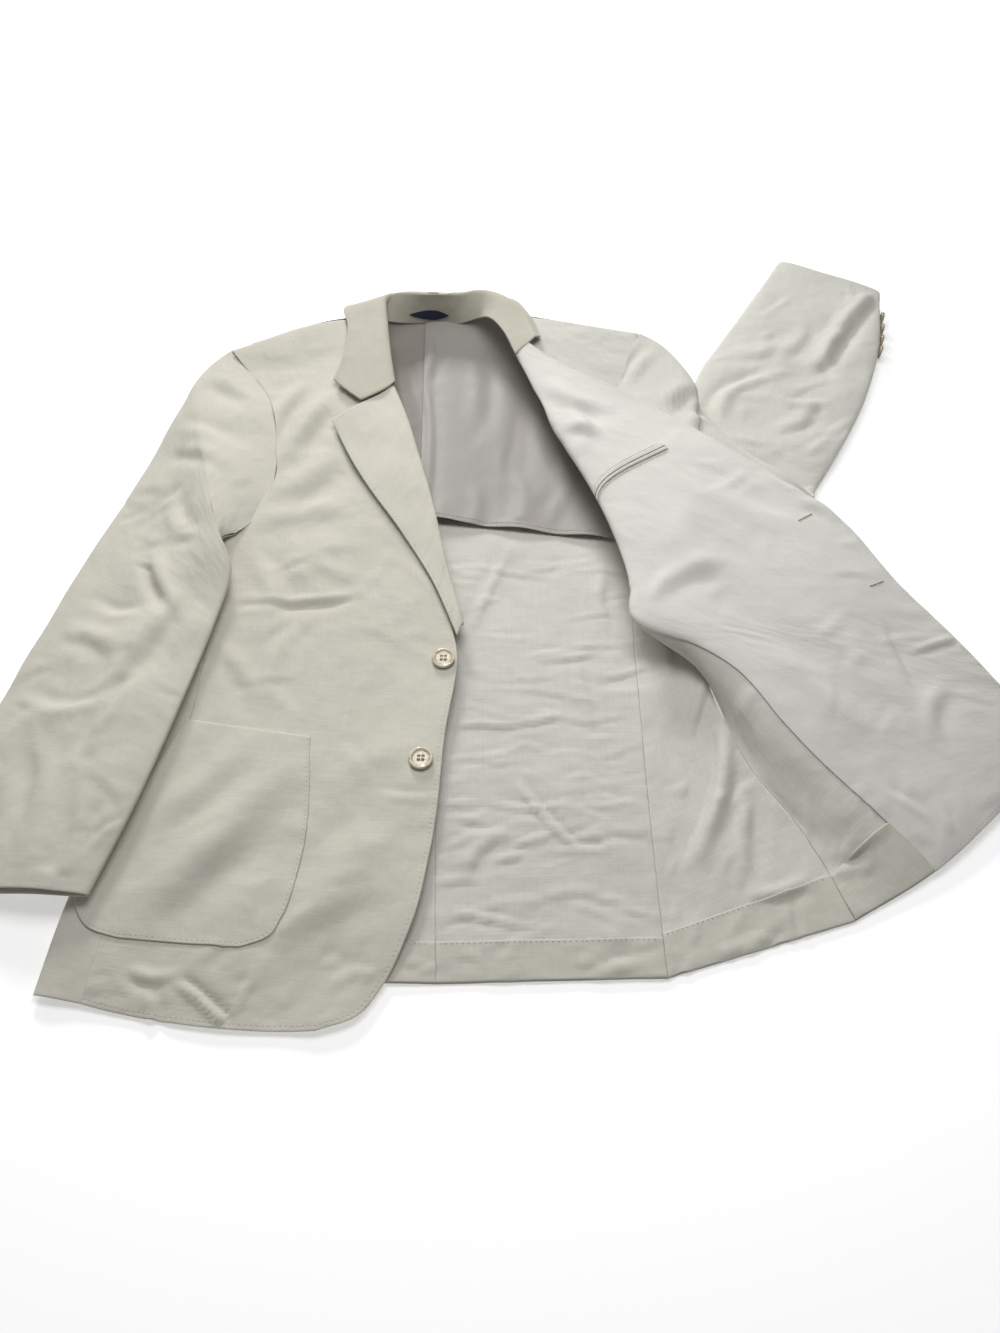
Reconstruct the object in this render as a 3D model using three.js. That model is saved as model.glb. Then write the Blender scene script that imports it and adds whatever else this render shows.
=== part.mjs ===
// A two-button, single breasted linen blazer, lying on its back on a flat surface and half opened.
// Millimetres, +Z up, +Y from hem to collar, +X to the wearer's left.
// The wearer's right front lies closed over the back. The left front is turned back inside out over its
// sleeve, so that the facing, the half lining and the inside of the back show.
// "right" and "left" in names are the wearer's.
import * as THREE from "three";

// Driving dimensions
const cloth = 1.4; // linen wall
const satin = 1.0; // lining wall
const leafWall = 2.4; // collar and lapel: face and under layer together
const seamGap = 0.6; // air between neighbours along a seam
const layerGap = 0.8; // air between a panel and what is sewn on it
const backLength = 757; // neck seam to hem at the centre back
const lean = -0.0416; // sideways drift of the centre back for each mm towards the collar
const hemDepth = 31; // turned-up hem
const frontButton = { radius: 10, thick: 3.6, rim: 2.2, dish: 1.2 };
const cuffButton = { radius: 7.5, thick: 3, rim: 1.6, dish: 0.9 };

// Interpolation helpers
const lerp = (a, b, t) => a + (b - a) * t;
const mix = (a, b, t) => a.map((v, i) => lerp(v, b[i], t));
const clamp01 = (t) => Math.min(1, Math.max(0, t));
const smooth = (t, from, to) => {
  const s = clamp01((t - from) / (to - from));
  return s * s * (3 - 2 * s);
};
const list = (v) => (Array.isArray(v) ? v : [v]);
const even = (n) => Array.from({ length: n + 1 }, (_, i) => i / n);

// Cubic from a to b with end tangents ta and tb
const cubic = (a, b, ta, tb, s) =>
  a.map(
    (v, k) =>
      (2 * s ** 3 - 3 * s ** 2 + 1) * v +
      (s ** 3 - 2 * s ** 2 + s) * ta[k] +
      (3 * s ** 2 - 2 * s ** 3) * b[k] +
      (s ** 3 - s ** 2) * tb[k],
  );

// Smooth curve through one named column of a table whose rows sit at row.at; corner marks a sharp turn
function column(rows, name) {
  const at = rows.map((r) => r.at);
  const values = rows.map((r) => list(r[name]));
  const last = rows.length - 1;
  const slope = (i) => values[i].map((v, k) => (values[i + 1][k] - v) / (at[i + 1] - at[i]));
  const tangent = (i, side) => {
    if (i === 0) return slope(0);
    if (i === last) return slope(last - 1);
    if (rows[i].corner) return slope(side < 0 ? i - 1 : i);
    return mix(slope(i - 1), slope(i), (at[i] - at[i - 1]) / (at[i + 1] - at[i - 1]));
  };
  return (t) => {
    let i = 0;
    while (i < last - 1 && t > at[i + 1]) i++;
    const h = at[i + 1] - at[i];
    const scaled = (v) => v.map((x) => x * h);
    const out = cubic(values[i], values[i + 1], scaled(tangent(i, 1)), scaled(tangent(i + 1, -1)), (t - at[i]) / h);
    return out.length > 1 ? out : out[0];
  };
}

// Point on an edge by its y, from rows of x and z that sit at y
function columns(rows) {
  const x = column(rows, "x");
  const z = column(rows, "z");
  return (y) => [x(y), y, z(y)];
}

const palette = {
  linen: new THREE.MeshStandardMaterial({ color: 0xcac8bb, roughness: 0.9, metalness: 0 }),
  lining: new THREE.MeshStandardMaterial({ color: 0x9f9a94, roughness: 0.45, metalness: 0 }),
  button: new THREE.MeshStandardMaterial({ color: 0xcdc6ab, roughness: 0.3, metalness: 0 }),
  label: new THREE.MeshStandardMaterial({ color: 0x1b1d33, roughness: 0.6, metalness: 0 }),
};

const blazer = new THREE.Group();
function named(name, geometry, colour = "linen") {
  const mesh = new THREE.Mesh(geometry, palette[colour].clone());
  mesh.name = name;
  blazer.add(mesh);
  return mesh;
}

// Unit normal of a surface, along du x dv
const step = 1e-3;
function normalOf(surface, u, v) {
  const point = (a, b) => new THREE.Vector3(...surface(clamp01(a), clamp01(b)));
  const du = point(u + step, v).sub(point(u - step, v));
  const dv = point(u, v + step).sub(point(u, v - step));
  return du.cross(dv).normalize();
}

// A closed wall of cloth over a grid of (u, v), from one offset to another along the surface's normal
function wall(name, surface, { from = 0, to = cloth, us, vs, colour }) {
  const cols = us.length;
  const position = [];
  for (const offset of [Math.min(from, to), Math.max(from, to)])
    for (const v of vs)
      for (const u of us) {
        const p = new THREE.Vector3(...surface(u, v)).addScaledVector(normalOf(surface, u, v), offset);
        position.push(p.x, p.y, p.z);
      }
  const half = cols * vs.length;
  const index = [];
  const quad = (a, b, c, d) => index.push(a, b, c, a, c, d);
  for (let j = 0; j < vs.length - 1; j++)
    for (let i = 0; i < cols - 1; i++) {
      const a = j * cols + i;
      quad(a + half, a + 1 + half, a + 1 + cols + half, a + cols + half);
      quad(a, a + cols, a + 1 + cols, a + 1);
    }
  const rim = [];
  for (let i = 0; i < cols - 1; i++) rim.push(i);
  for (let j = 0; j < vs.length - 1; j++) rim.push(j * cols + cols - 1);
  for (let i = cols - 1; i > 0; i--) rim.push((vs.length - 1) * cols + i);
  for (let j = vs.length - 1; j > 0; j--) rim.push(j * cols);
  rim.forEach((a, k) => {
    const b = rim[(k + 1) % rim.length];
    quad(a, b, b + half, a + half);
  });
  const geometry = new THREE.BufferGeometry();
  geometry.setAttribute("position", new THREE.Float32BufferAttribute(position, 3));
  geometry.setIndex(index);
  geometry.computeVertexNormals();
  return named(name, geometry, colour);
}

// Part of a surface, as a surface of its own
const cut = (surface, u0, u1, v0, v1) => (u, v) => surface(lerp(u0, u1, u), lerp(v0, v1, v));

// Sewn on a panel: just clear of its upper face
const onCloth = { from: cloth + layerGap, to: 2 * cloth + layerGap };

// Height of the closed front's underside above the table
const lieRows = [
  { at: -60, z: 8.6 },
  { at: 60, z: 9 },
  { at: 150, z: 11 },
  { at: 280, z: 15 },
  { at: 400, z: 25 },
  { at: 500, z: 34 },
  { at: 600, z: 40 },
  { at: 760, z: 43 },
];
const lie = column(lieRows, "z");
const topOf = (x, y) => [x, y, lie(y) + cloth];

// Level panel: rows give its two side edges, height(x, y, u, v) its underside
function level(rows, height) {
  const left = column(rows, "left");
  const right = column(rows, "right");
  return (u, v) => {
    const [x, y] = mix(left(v), right(v), u);
    return [x, y, height(x, y, u, v)];
  };
}

// Panel that turns over a crest: sections run start, crest, end. "up" turns the crest's tangent from level to
// upright, "over" makes the fold rounder.
function turned(rows) {
  const start = column(rows, "start");
  const crest = column(rows, "crest");
  const end = column(rows, "end");
  const up = column(rows, "up");
  const over = column(rows, "over");
  return (u, v) => {
    const [s, c, e, k, o] = [start(v), crest(v), end(v), up(v), over(v)];
    const upright = [0, 0, (e[2] - s[2]) * 1.2 + Math.sign(e[2] - s[2]) * o];
    const along = mix([0, 0, 0], [e[0] - s[0], e[1] - s[1], e[2] - s[2]], 0.5);
    const atCrest = mix(along, upright, k);
    const atStart = [c[0] - s[0], c[1] - s[1], lerp(c[2] - s[2], 0, k)];
    const atEnd = [e[0] - c[0], e[1] - c[1], lerp(e[2] - c[2], 0, k)];
    return u <= 0.5 ? cubic(s, c, atStart, atCrest, u * 2) : cubic(c, e, atCrest, atEnd, u * 2 - 1);
  };
}

// Back: two panels on the table, joined at the centre back. Their top edge curls up to the shoulder seam.
const centre = (y) => [lean * y, y];
const curlFrom = 0.94;
const riseRows = [
  { at: -240, z: 47 },
  { at: -119, z: 41 },
  { at: -75, z: 25 },
  { at: -31, z: 7 },
  { at: 45, z: 34 },
  { at: 120, z: 42 },
  { at: 200, z: 47 },
];
const rise = column(riseRows, "z");
const curl = (v) => (v < curlFrom ? 0 : (1 - Math.sqrt(1 - 0.96 * ((v - curlFrom) / (1 - curlFrom)) ** 2)) / 0.8);
const backHeight = (x, y, u, v) => curl(v) * rise(x);
const backRightRows = [
  { at: 0.0, left: [-170, 2], right: centre(0) },
  { at: 0.25, left: [-183, 186], right: centre(190) },
  { at: 0.5, left: [-196, 375], right: centre(385) },
  { at: 0.54, left: [-198, 404], right: centre(415), corner: true },
  { at: 0.66, left: [-200, 480], right: centre(505) },
  { at: 0.82, left: [-204, 570], right: centre(630) },
  { at: 1.0, left: [-236, 651], right: centre(backLength) },
];
const backLeftRows = [
  { at: 0.0, left: centre(0), right: [169, 4] },
  { at: 0.25, left: centre(190), right: [167, 190] },
  { at: 0.5, left: centre(385), right: [170, 375] },
  { at: 0.54, left: centre(415), right: [172, 404], corner: true },
  { at: 0.66, left: centre(505), right: [170, 490] },
  { at: 0.82, left: centre(630), right: [166, 585] },
  { at: 1.0, left: centre(backLength), right: [196, 676] },
];
const backVs = [0, 0.041, 0.15, 0.3, 0.42, 0.54, 0.64, 0.74, 0.85, 0.94, 0.965, 0.985, 1];
const inset = seamGap / 2 / 190; // half a seam's gap, as a share of a back panel's width
const backRight = cut(level(backRightRows, backHeight), inset, 1 - inset, 0, 1);
const backLeft = cut(level(backLeftRows, backHeight), inset, 1 - inset, 0, 1);
wall("back_right", backRight, { us: even(6), vs: backVs });
wall("back_left", backLeft, { us: even(6), vs: backVs });

// Turned-up hem of the back
const hemShare = hemDepth / backLength;
wall("hem_back_right", cut(backRight, 0, 1, 0.001, hemShare), { ...onCloth, us: even(6), vs: even(1) });
wall("hem_back_left", cut(backLeft, 0, 1, 0.001, hemShare), { ...onCloth, us: even(6), vs: even(1) });

// Half lining of the back: loose above its hem, with a pleat at the centre where the left piece laps the right
const liningLift = (u, v) => 5 * Math.exp(-v * 9) * (0.6 + 0.4 * Math.sin(u * 17));
const liningOn = (surface, lap) => (u, v) => {
  const [x, y, z] = surface(u, v);
  const lifted = z + cloth + layerGap + liningLift(u, v) + lap(u, v);
  return [x, y - 5 * smooth(v, 0.8, 1), lifted];
};
const liningFrom = 0.585;
const liningTo = 0.982;
const liningRight = liningOn(cut(backRight, 0.1, 0.995, liningFrom, liningTo), () => 0);
const lapWidth = 14;
const lapped = (u, v) => {
  const [x, y, z] = backLeft(0.97 * u, lerp(lerp(liningFrom, liningFrom - 0.02, u), liningTo, v));
  return [x - lapWidth * (1 - u) ** 4 * (1 - 0.5 * v), y, z];
};
const liningLeft = liningOn(lapped, (u) => (satin + 0.8 + 1.2) * (1 - smooth(u, 0.08, 0.4)));
const liningVs = [0, 0.06, 0.16, 0.4, 0.65, 0.88, 0.93, 0.965, 1];
wall("lining_right", liningRight, { to: satin, us: even(6), vs: liningVs, colour: "lining" });
wall("lining_left", liningLeft, { to: satin, us: even(9), vs: liningVs, colour: "lining" });

// Side panel of the closed half: from the back seam on the table, round the side fold, to the front seam
const backSeamRight = column(backRightRows, "left");
const onSeamRight = (at) => {
  const [x, y] = backSeamRight(at * 0.535);
  return [x - seamGap, y, 0];
};
const sideRightRows = [
  { at: 0.0, start: onSeamRight(0.0), crest: [-290, -9, 5], end: topOf(-255, -15), up: 1, over: 2 },
  { at: 0.12, start: onSeamRight(0.12), crest: [-284, 48, 6], end: topOf(-248, 40), up: 1, over: 2 },
  { at: 0.3, start: onSeamRight(0.3), crest: [-270, 124, 7], end: topOf(-231, 116), up: 1, over: 2 },
  { at: 0.55, start: onSeamRight(0.55), crest: [-254, 228, 8], end: topOf(-214, 222), up: 1, over: 3 },
  { at: 0.78, start: onSeamRight(0.78), crest: [-252, 310, 9], end: topOf(-212, 306), up: 1, over: 3 },
  { at: 1.0, start: onSeamRight(1.0), crest: [-246, 396, 11], end: topOf(-206, 390), up: 1, over: 3 },
];
const sideRight = turned(sideRightRows);
const foldUs = [0, 0.15, 0.3, 0.4, 0.46, 0.5, 0.54, 0.6, 0.7, 0.85, 1];
wall("side_right", sideRight, { from: 0, to: -cloth, us: foldUs, vs: [0, 0.06, 0.12, 0.3, 0.5, 0.75, 1] });

// Closed front
const frontRightRows = [
  { at: 0.0, left: [-254.3, -15], right: [-84, -34] },
  { at: 0.025, left: [-253, 0], right: [-57, -25] },
  { at: 0.055, left: [-250.8, 18], right: [-40, -5] },
  { at: 0.11, left: [-245.5, 50], right: [-21, 38] },
  { at: 0.2, left: [-231, 112], right: [-8, 100] },
  { at: 0.36, left: [-213.4, 222], right: [1, 205] },
  { at: 0.48, left: [-211.4, 304], right: [9, 285] },
  { at: 0.54, left: [-209, 345], right: [2, 318] },
  { at: 0.62, left: [-205.4, 390], right: [-13, 372] },
  { at: 0.645, left: [-196, 410], right: [-20, 400] },
  { at: 0.72, left: [-176, 462], right: [-37, 455] },
  { at: 0.8, left: [-175, 520], right: [-62, 530] },
  { at: 0.9, left: [-190, 585], right: [-84, 602] },
  { at: 1.0, left: [-235.5, 649], right: [-108, 712] },
];
const hemBow = (u, v) => -6 * 4 * u * (1 - u) * Math.exp(-v * 14);
const frontRightPlan = level(frontRightRows, () => 0);
const frontRight = (u, v) => {
  const [x, y] = frontRightPlan(u, v);
  return [x, y + hemBow(u, v), lerp(lie(y), rise(x) + 1, smooth(v, 0.95, 1))];
};
const frontVs = [0, 0.025, 0.055, 0.11, 0.2, 0.28, 0.36, 0.42, 0.48, 0.54, 0.62, 0.68, 0.74, 0.8, 0.86, 0.91, 0.95, 0.98, 1];
wall("front_right", frontRight, { us: even(8), vs: frontVs });

// Lapel of the closed front: its facing comes from inside, rolls over the front's edge and lies on the chest
const lapelRow = (at, start, crest, end, lift) => ({
  at,
  start: [...start, lie(start[1]) - layerGap],
  crest: [...crest, lie(crest[1]) + cloth / 2 + 0.5 * lift],
  end: [...end, lie(end[1]) + cloth + layerGap + lift],
  up: 1,
  over: 3,
});
const lapelRightRows = [
  lapelRow(0.0, [-90, 594], [-63.6, 597.6], [-121, 546.8], 4),
  lapelRow(0.18, [-78, 556], [-49, 556], [-101, 502], 4),
  lapelRow(0.36, [-62, 510], [-35, 506], [-79, 462], 4),
  lapelRow(0.58, [-42, 455], [-19, 446], [-44, 408], 3),
  lapelRow(0.78, [-28, 400], [-6, 385], [-17, 361], 2),
  lapelRow(1.0, [-12, 330], [12, 315], [8, 300.7], 0.5),
];
const lapelRight = turned(lapelRightRows);
const lapelUs = [0, 0.2, 0.36, 0.44, 0.48, 0.5, 0.52, 0.56, 0.64, 0.76, 0.88, 1];
wall("lapel_right", lapelRight, { from: 0, to: leafWall, us: lapelUs, vs: even(9) });

// Collar: stand and leaf in one, from the gorge of the closed front round the neck to the turned-back front
const collarRows = [
  { at: 0.0, start: [-94, 606, 39.2], crest: [-63.4, 604.6, 44], end: [-124.3, 603.8, 47], up: 1, over: 3 },
  { at: 0.14, start: [-100, 645, 40], crest: [-70, 645, 45], end: [-117, 642, 48.5], up: 1, over: 3 },
  { at: 0.28, start: [-108, 690, 38], crest: [-77, 700, 46], end: [-117, 690, 49], up: 1, over: 3 },
  { at: 0.36, start: [-100, 723, 36], crest: [-80, 732, 47], end: [-123, 722, 46], up: 1, over: 3 },
  { at: 0.43, start: [-78, 735, 28], crest: [-74, 744, 47], end: [-104, 752, 26], up: 1, over: 3 },
  { at: 0.55, start: [-31, 758, 9.6], crest: [-29, 749, 46], end: [-31, 779, 3], up: 1, over: 3 },
  { at: 0.65, start: [2, 746.5, 19], crest: [3, 747, 46], end: [14, 774, 5], up: 1, over: 3 },
  { at: 0.73, start: [28, 737, 31.5], crest: [25, 748, 48], end: [44, 765, 16], up: 1, over: 3 },
  { at: 0.82, start: [45, 717, 51], crest: [53, 732, 54], end: [62, 743, 40], up: 1, over: 1 },
  { at: 0.9, start: [59, 690, 54.5], crest: [76, 701, 55], end: [78, 704, 48], up: 1, over: 1 },
  { at: 1.0, start: [77, 656, 56], crest: [94, 664, 55], end: [90, 672, 49], up: 1, over: 1 },
];
const collarPlain = turned(collarRows);
const notchDip = (u) => 31 * (u < 0.8 ? clamp01((u - 0.5) / 0.3) : (1 - u) / 0.2);
const collar = (u, v) => {
  const [x, y, z] = collarPlain(u, v);
  return [x, y - notchDip(u) * clamp01(1 - v / 0.08), z];
};
wall("collar", collar, {
  from: 0,
  to: -leafWall,
  us: [0, 0.2, 0.36, 0.44, 0.5, 0.56, 0.64, 0.72, 0.8, 0.9, 1],
  vs: [0, 0.04, 0.08, 0.15, 0.22, 0.28, 0.34, 0.39, 0.44, 0.5, 0.55, 0.6, 0.66, 0.73, 0.79, 0.85, 0.92, 1],
});

// Label: a bare crescent on the inside of the stand at the centre back
const labelAt = { v: 0.548, halfLength: 0.058, low: 0.12, high: 0.28 };
const label = (u, v) => {
  const side = 2 * v - 1;
  const top = lerp(labelAt.low + 0.01, labelAt.high, Math.sqrt(Math.max(0, 1 - side * side)));
  return collar(lerp(labelAt.low, top, u), labelAt.v + side * labelAt.halfLength);
};
wall("neck_label", label, {
  from: -leafWall - 0.7,
  to: -leafWall - 1.5,
  us: even(2),
  vs: even(10),
  colour: "label",
});

// Front of the open half: from the armhole and side seam, over the crest, to the front edge. The base face is
// the inside of the cloth.
const frontLeftRows = [
  { at: 0.0, start: [194, 674, 50], crest: [44, 721, 41], end: [52, 712, 50], up: 1, over: 2 },
  { at: 0.05, start: [186, 652, 45], crest: [54, 684, 44], end: [75, 660, 52], up: 1, over: 3 },
  { at: 0.1, start: [178, 628, 40], crest: [66, 642, 45], end: [112, 624, 53], up: 1, over: 4 },
  { at: 0.2, start: [160, 560, 30], crest: [92, 560, 46], end: [196, 560, 54], up: 1, over: 6 },
  { at: 0.32, start: [170, 480, 22], crest: [124, 476, 46], end: [286, 478, 53], up: 1, over: 8 },
  { at: 0.42, start: [201, 414, 15], crest: [148, 408, 45], end: [355, 414, 50], up: 1, over: 8 },
  { at: 0.52, start: [214, 334, 11], crest: [162, 342, 43], end: [402, 340, 40], up: 1, over: 8 },
  { at: 0.6, start: [221, 284, 10.3], crest: [165, 300, 42], end: [431, 303, 33], up: 0.9, over: 6 },
  { at: 0.68, start: [228, 254, 10.3], crest: [214, 277, 41], end: [453, 273, 27], up: 0.6, over: 3 },
  { at: 0.75, start: [240, 207, 9], crest: [250, 249, 39], end: [466, 254, 23], up: 0.4, over: 0 },
  { at: 0.83, start: [258, 165, 6], crest: [283, 201, 34], end: [478, 236, 19], up: 0.2, over: 0 },
  { at: 0.9, start: [285, 122, 3], crest: [313, 165, 27], end: [485, 212, 16], up: 0, over: 0 },
  { at: 0.945, start: [300, 90, 2], crest: [345, 132, 19], end: [484, 190, 14], up: 0, over: 0 },
  { at: 0.975, start: [308, 66, 1.6], crest: [370, 106, 12], end: [474, 166, 12], up: 0, over: 0 },
  { at: 1.0, start: [315, 47, 1.5], crest: [386, 87, 6], end: [456, 143, 9], up: 0, over: 0 },
];
const frontLeft = turned(frontLeftRows);
const openUs = [0, 0.12, 0.25, 0.36, 0.44, 0.48, 0.5, 0.52, 0.56, 0.64, 0.74, 0.87, 1];
const openVs = [0, 0.05, 0.1, 0.16, 0.22, 0.28, 0.34, 0.4, 0.46, 0.52, 0.57, 0.62, 0.68, 0.75, 0.83, 0.9, 0.945, 0.975, 1];
wall("front_left", frontLeft, { from: 0, to: cloth, us: openUs, vs: openVs });

// Its facing, free along its inner edge below the fold
wall("facing_left", frontLeft, {
  from: -layerGap,
  to: -layerGap - cloth,
  us: openUs.filter((u) => u > 0.47),
  vs: openVs,
});

// Side panel of the open half, level on the table, and the turned-up hems beside it
const frontLeftStart = column(frontLeftRows, "start");
const backSeamLeft = column(backLeftRows, "right");
const sideLeft = (u, v) => {
  const [x0, y0] = backSeamLeft(v * 0.53);
  const [x1, y1, z1] = frontLeftStart(lerp(1, 0.44, v));
  const height = Math.max(0, z1 - cloth - 0.2 - 1.5 * smooth(v, 0.1, 0.6));
  return [lerp(x0 + seamGap, x1 - 0.8, u), lerp(y0, y1 - 0.3, u), height * smooth(u, 0.25, 1)];
};
wall("side_left", sideLeft, { us: even(5), vs: [0, 0.09, 0.2, 0.35, 0.5, 0.65, 0.8, 1] });
wall("hem_side_left", cut(sideLeft, 0.002, 0.992, 0.001, 0.085), { ...onCloth, us: even(5), vs: even(1) });
wall("hem_front_left", cut(frontLeft, 0.004, 0.465, 0.955, 0.999), {
  from: -layerGap,
  to: -layerGap - cloth,
  us: even(4),
  vs: even(2),
});

// Leaf of the left lapel, folded back under the turned-back front
const leafShare = (v) => 0.3 * (1 - v) + 0.02;
const lapelLeft = (u, v) => frontLeft(1 - leafShare(v) * (1 - u), lerp(0.1, 0.44, v));
wall("lapel_left", lapelLeft, {
  from: cloth + 1.3,
  to: cloth + 1.3 + leafWall,
  us: even(3),
  vs: even(8),
});

// Patch pockets
const pocketRows = [
  { at: 0.0, left: [-236, 32], right: [-146, 25] },
  { at: 0.06, left: [-257, 38], right: [-127, 32] },
  { at: 0.16, left: [-273, 56], right: [-117, 46] },
  { at: 0.4, left: [-262, 100], right: [-107.5, 95] },
  { at: 1.0, left: [-216, 217], right: [-111, 201] },
];
const pocketRight = level(pocketRows, (x, y) => lie(y) + cloth + layerGap);
wall("pocket_right", pocketRight, { us: even(5), vs: [0, 0.06, 0.16, 0.4, 0.7, 1] });
wall("pocket_left", cut(frontLeft, 0.6, 0.85, 0.66, 0.93), {
  from: cloth + layerGap,
  to: 2 * cloth + layerGap,
  us: even(4),
  vs: even(5),
});

// Welt of the inside pocket, on the left facing
const weltFrom = { u: 0.515, v: 0.372 };
const weltTo = { u: 0.835, v: 0.29 };
const weltWidth = 0.011;
const welt = (u, v) =>
  frontLeft(lerp(weltFrom.u, weltTo.u, u), lerp(weltFrom.v, weltTo.v, u) + weltWidth * (v - 0.5));
wall("inside_pocket_welt", welt, {
  from: -2 * layerGap - cloth,
  to: -2 * layerGap - 2 * cloth,
  us: even(6),
  vs: even(1),
});

// Armhole edge by y, from rows of x and z
const armholeRight = {
  upper: [
    { at: 409, x: -203, z: 32 },
    { at: 420, x: -194, z: 30 },
    { at: 462, x: -177.4, z: 31 },
    { at: 520, x: -176.4, z: 36 },
    { at: 585, x: -191.4, z: 40 },
    { at: 630, x: -221.5, z: 43 },
    { at: 650, x: -239, z: 46 },
  ],
  under: [
    { at: 409, x: -203, z: 29.4 },
    { at: 424, x: -200.5, z: 10 },
    { at: 440, x: -200, z: 3 },
    { at: 480, x: -201.4, z: 1.7 },
    { at: 570, x: -205.4, z: 1.7 },
    { at: 605, x: -218, z: 1.8 },
    { at: 625, x: -226, z: 3.5 },
    { at: 642, x: -235.5, z: 18 },
    { at: 650, x: -239, z: 42 },
  ],
};
const armholeLeft = {
  upper: [
    { at: 414, x: 206, z: 17 },
    { at: 440, x: 191, z: 19 },
    { at: 480, x: 172.4, z: 22.5 },
    { at: 560, x: 161.4, z: 31 },
    { at: 628, x: 179.4, z: 41 },
    { at: 652, x: 187.4, z: 46 },
    { at: 671, x: 197, z: 50 },
  ],
  under: [
    { at: 414, x: 208, z: 15 },
    { at: 428, x: 190, z: 6 },
    { at: 450, x: 174, z: 2 },
    { at: 490, x: 171.4, z: 1.7 },
    { at: 585, x: 167.4, z: 1.7 },
    { at: 625, x: 178, z: 2 },
    { at: 650, x: 187, z: 6 },
    { at: 664, x: 193, z: 22 },
    { at: 671, x: 197, z: 46 },
  ],
};

// Sleeve: a tube of two panels. Sections run from a (shoulder and elbow side) to b (underarm side); high and low
// are how far its upper and under panel stand off the line ab. At the top it runs into the armhole.
function sleeve(name, rows, armhole, { settle = (s) => s, upright = false } = {}) {
  const a = column(rows, "a");
  const b = column(rows, "b");
  const high = column(rows, "high");
  const low = column(rows, "low");
  const ring = { upper: columns(armhole.upper), under: columns(armhole.under) };
  const mid = (v) => new THREE.Vector3(...mix(a(v), b(v), 0.5));
  const across = (v) => new THREE.Vector3(...b(v)).sub(new THREE.Vector3(...a(v))).normalize();
  const off = (v) => {
    if (upright) return new THREE.Vector3(0, 0, 1);
    const way = mid(Math.min(1, v + 0.01)).sub(mid(Math.max(0, v - 0.01)));
    return across(v).cross(way).normalize();
  };
  const sign = Math.sign(off(0).z);
  const sideGap = 0.75;
  const side = (upper) => (u, v) => {
    const s = (1 - Math.cos(Math.PI * u)) / 2;
    const [x, y] = mix(a(v), b(v), s);
    const z = lerp(a(v)[2], b(v)[2], settle(s));
    const lift = upper ? high(v) * Math.sin(Math.PI * u) ** 0.8 : low(v) * Math.sin(Math.PI * u) ** 0.5;
    const n = off(v).multiplyScalar(sign * (upper ? 1 : -1) * (lift + sideGap));
    const edge = (upper ? ring.upper : ring.under)(lerp(a(0)[1], b(0)[1], s));
    return mix(edge, [x + n.x, y + n.y, z + n.z], smooth(v, 0, 0.12));
  };
  const us = [0, 0.04, 0.1, 0.2, 0.35, 0.5, 0.65, 0.8, 0.9, 0.96, 1];
  const vs = column(rows.map((r, i) => ({ at: i / (rows.length - 1), v: r.at })), "v");
  const steps = even(Math.round(1.5 * (rows.length - 1))).map((t) => clamp01(vs(t)));
  const upperOut = sign > 0 ? { from: 0, to: cloth } : { from: 0, to: -cloth };
  const underOut = sign > 0 ? { from: 0, to: -cloth } : { from: 0, to: cloth };
  wall(name + "_top", side(true), { ...upperOut, us, vs: steps });
  wall(name + "_under", side(false), { ...underOut, us, vs: steps });
  return { top: side(true), under: side(false), out: sign };
}
const sleeveRightRows = [
  { at: 0.0, a: [-239, 650, 44], b: [-203, 409, 31], high: 7, low: 20 },
  { at: 0.06, a: [-262, 634, 38], b: [-212, 401, 36], high: 10, low: 9 },
  { at: 0.16, a: [-282, 582, 28], b: [-206, 385, 40], high: 11, low: 8 },
  { at: 0.3, a: [-309, 500, 15], b: [-195, 359, 38], high: 9, low: 6 },
  { at: 0.45, a: [-340, 405, 9], b: [-203, 310, 30], high: 8, low: 6 },
  { at: 0.62, a: [-370, 285, 8], b: [-218, 230, 28], high: 8, low: 6 },
  { at: 0.8, a: [-393, 175, 8], b: [-238, 140, 25], high: 8, low: 6 },
  { at: 1.0, a: [-407, 72, 8], b: [-261, 60, 21], high: 8, low: 6 },
];
const sleeveLeftRows = [
  { at: 0.0, a: [198, 671, 44], b: [211, 414, 22], high: 8, low: 26 },
  { at: 0.06, a: [229, 655, 42], b: [216, 408, 26], high: 10, low: 15 },
  { at: 0.12, a: [247, 612, 36], b: [220, 406, 27], high: 10, low: 9 },
  { at: 0.19, a: [253, 570, 32], b: [224, 406, 27], high: 7, low: 7 },
  { at: 0.27, a: [286, 520, 31], b: [228, 408, 27], high: 6, low: 5 },
  { at: 0.34, a: [326, 484, 30], b: [232, 411, 27], high: 5, low: 5 },
  { at: 0.4, a: [350, 466, 20], b: [244, 420, 18], high: 2.6, low: 2.6 },
  { at: 0.46, a: [356, 480, 11], b: [246, 442, 10], high: 5, low: 5 },
  { at: 0.6, a: [392, 538, 10.5], b: [240, 560, 10.5], high: 8, low: 7 },
  { at: 0.75, a: [436, 620, 10.3], b: [262, 650, 10.3], high: 8, low: 8 },
  { at: 0.88, a: [468, 705, 10.3], b: [320, 750, 10.3], high: 8, low: 8 },
  { at: 1.0, a: [487, 794, 12], b: [381, 853, 10.3], high: 8, low: 7 },
];
const sleeveRight = sleeve("sleeve_right", sleeveRightRows, armholeRight, {
  settle: (s) => smooth(s, 0.2, 0.78),
  upright: true,
});
const sleeveLeft = sleeve("sleeve_left", sleeveLeftRows, armholeLeft);

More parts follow.
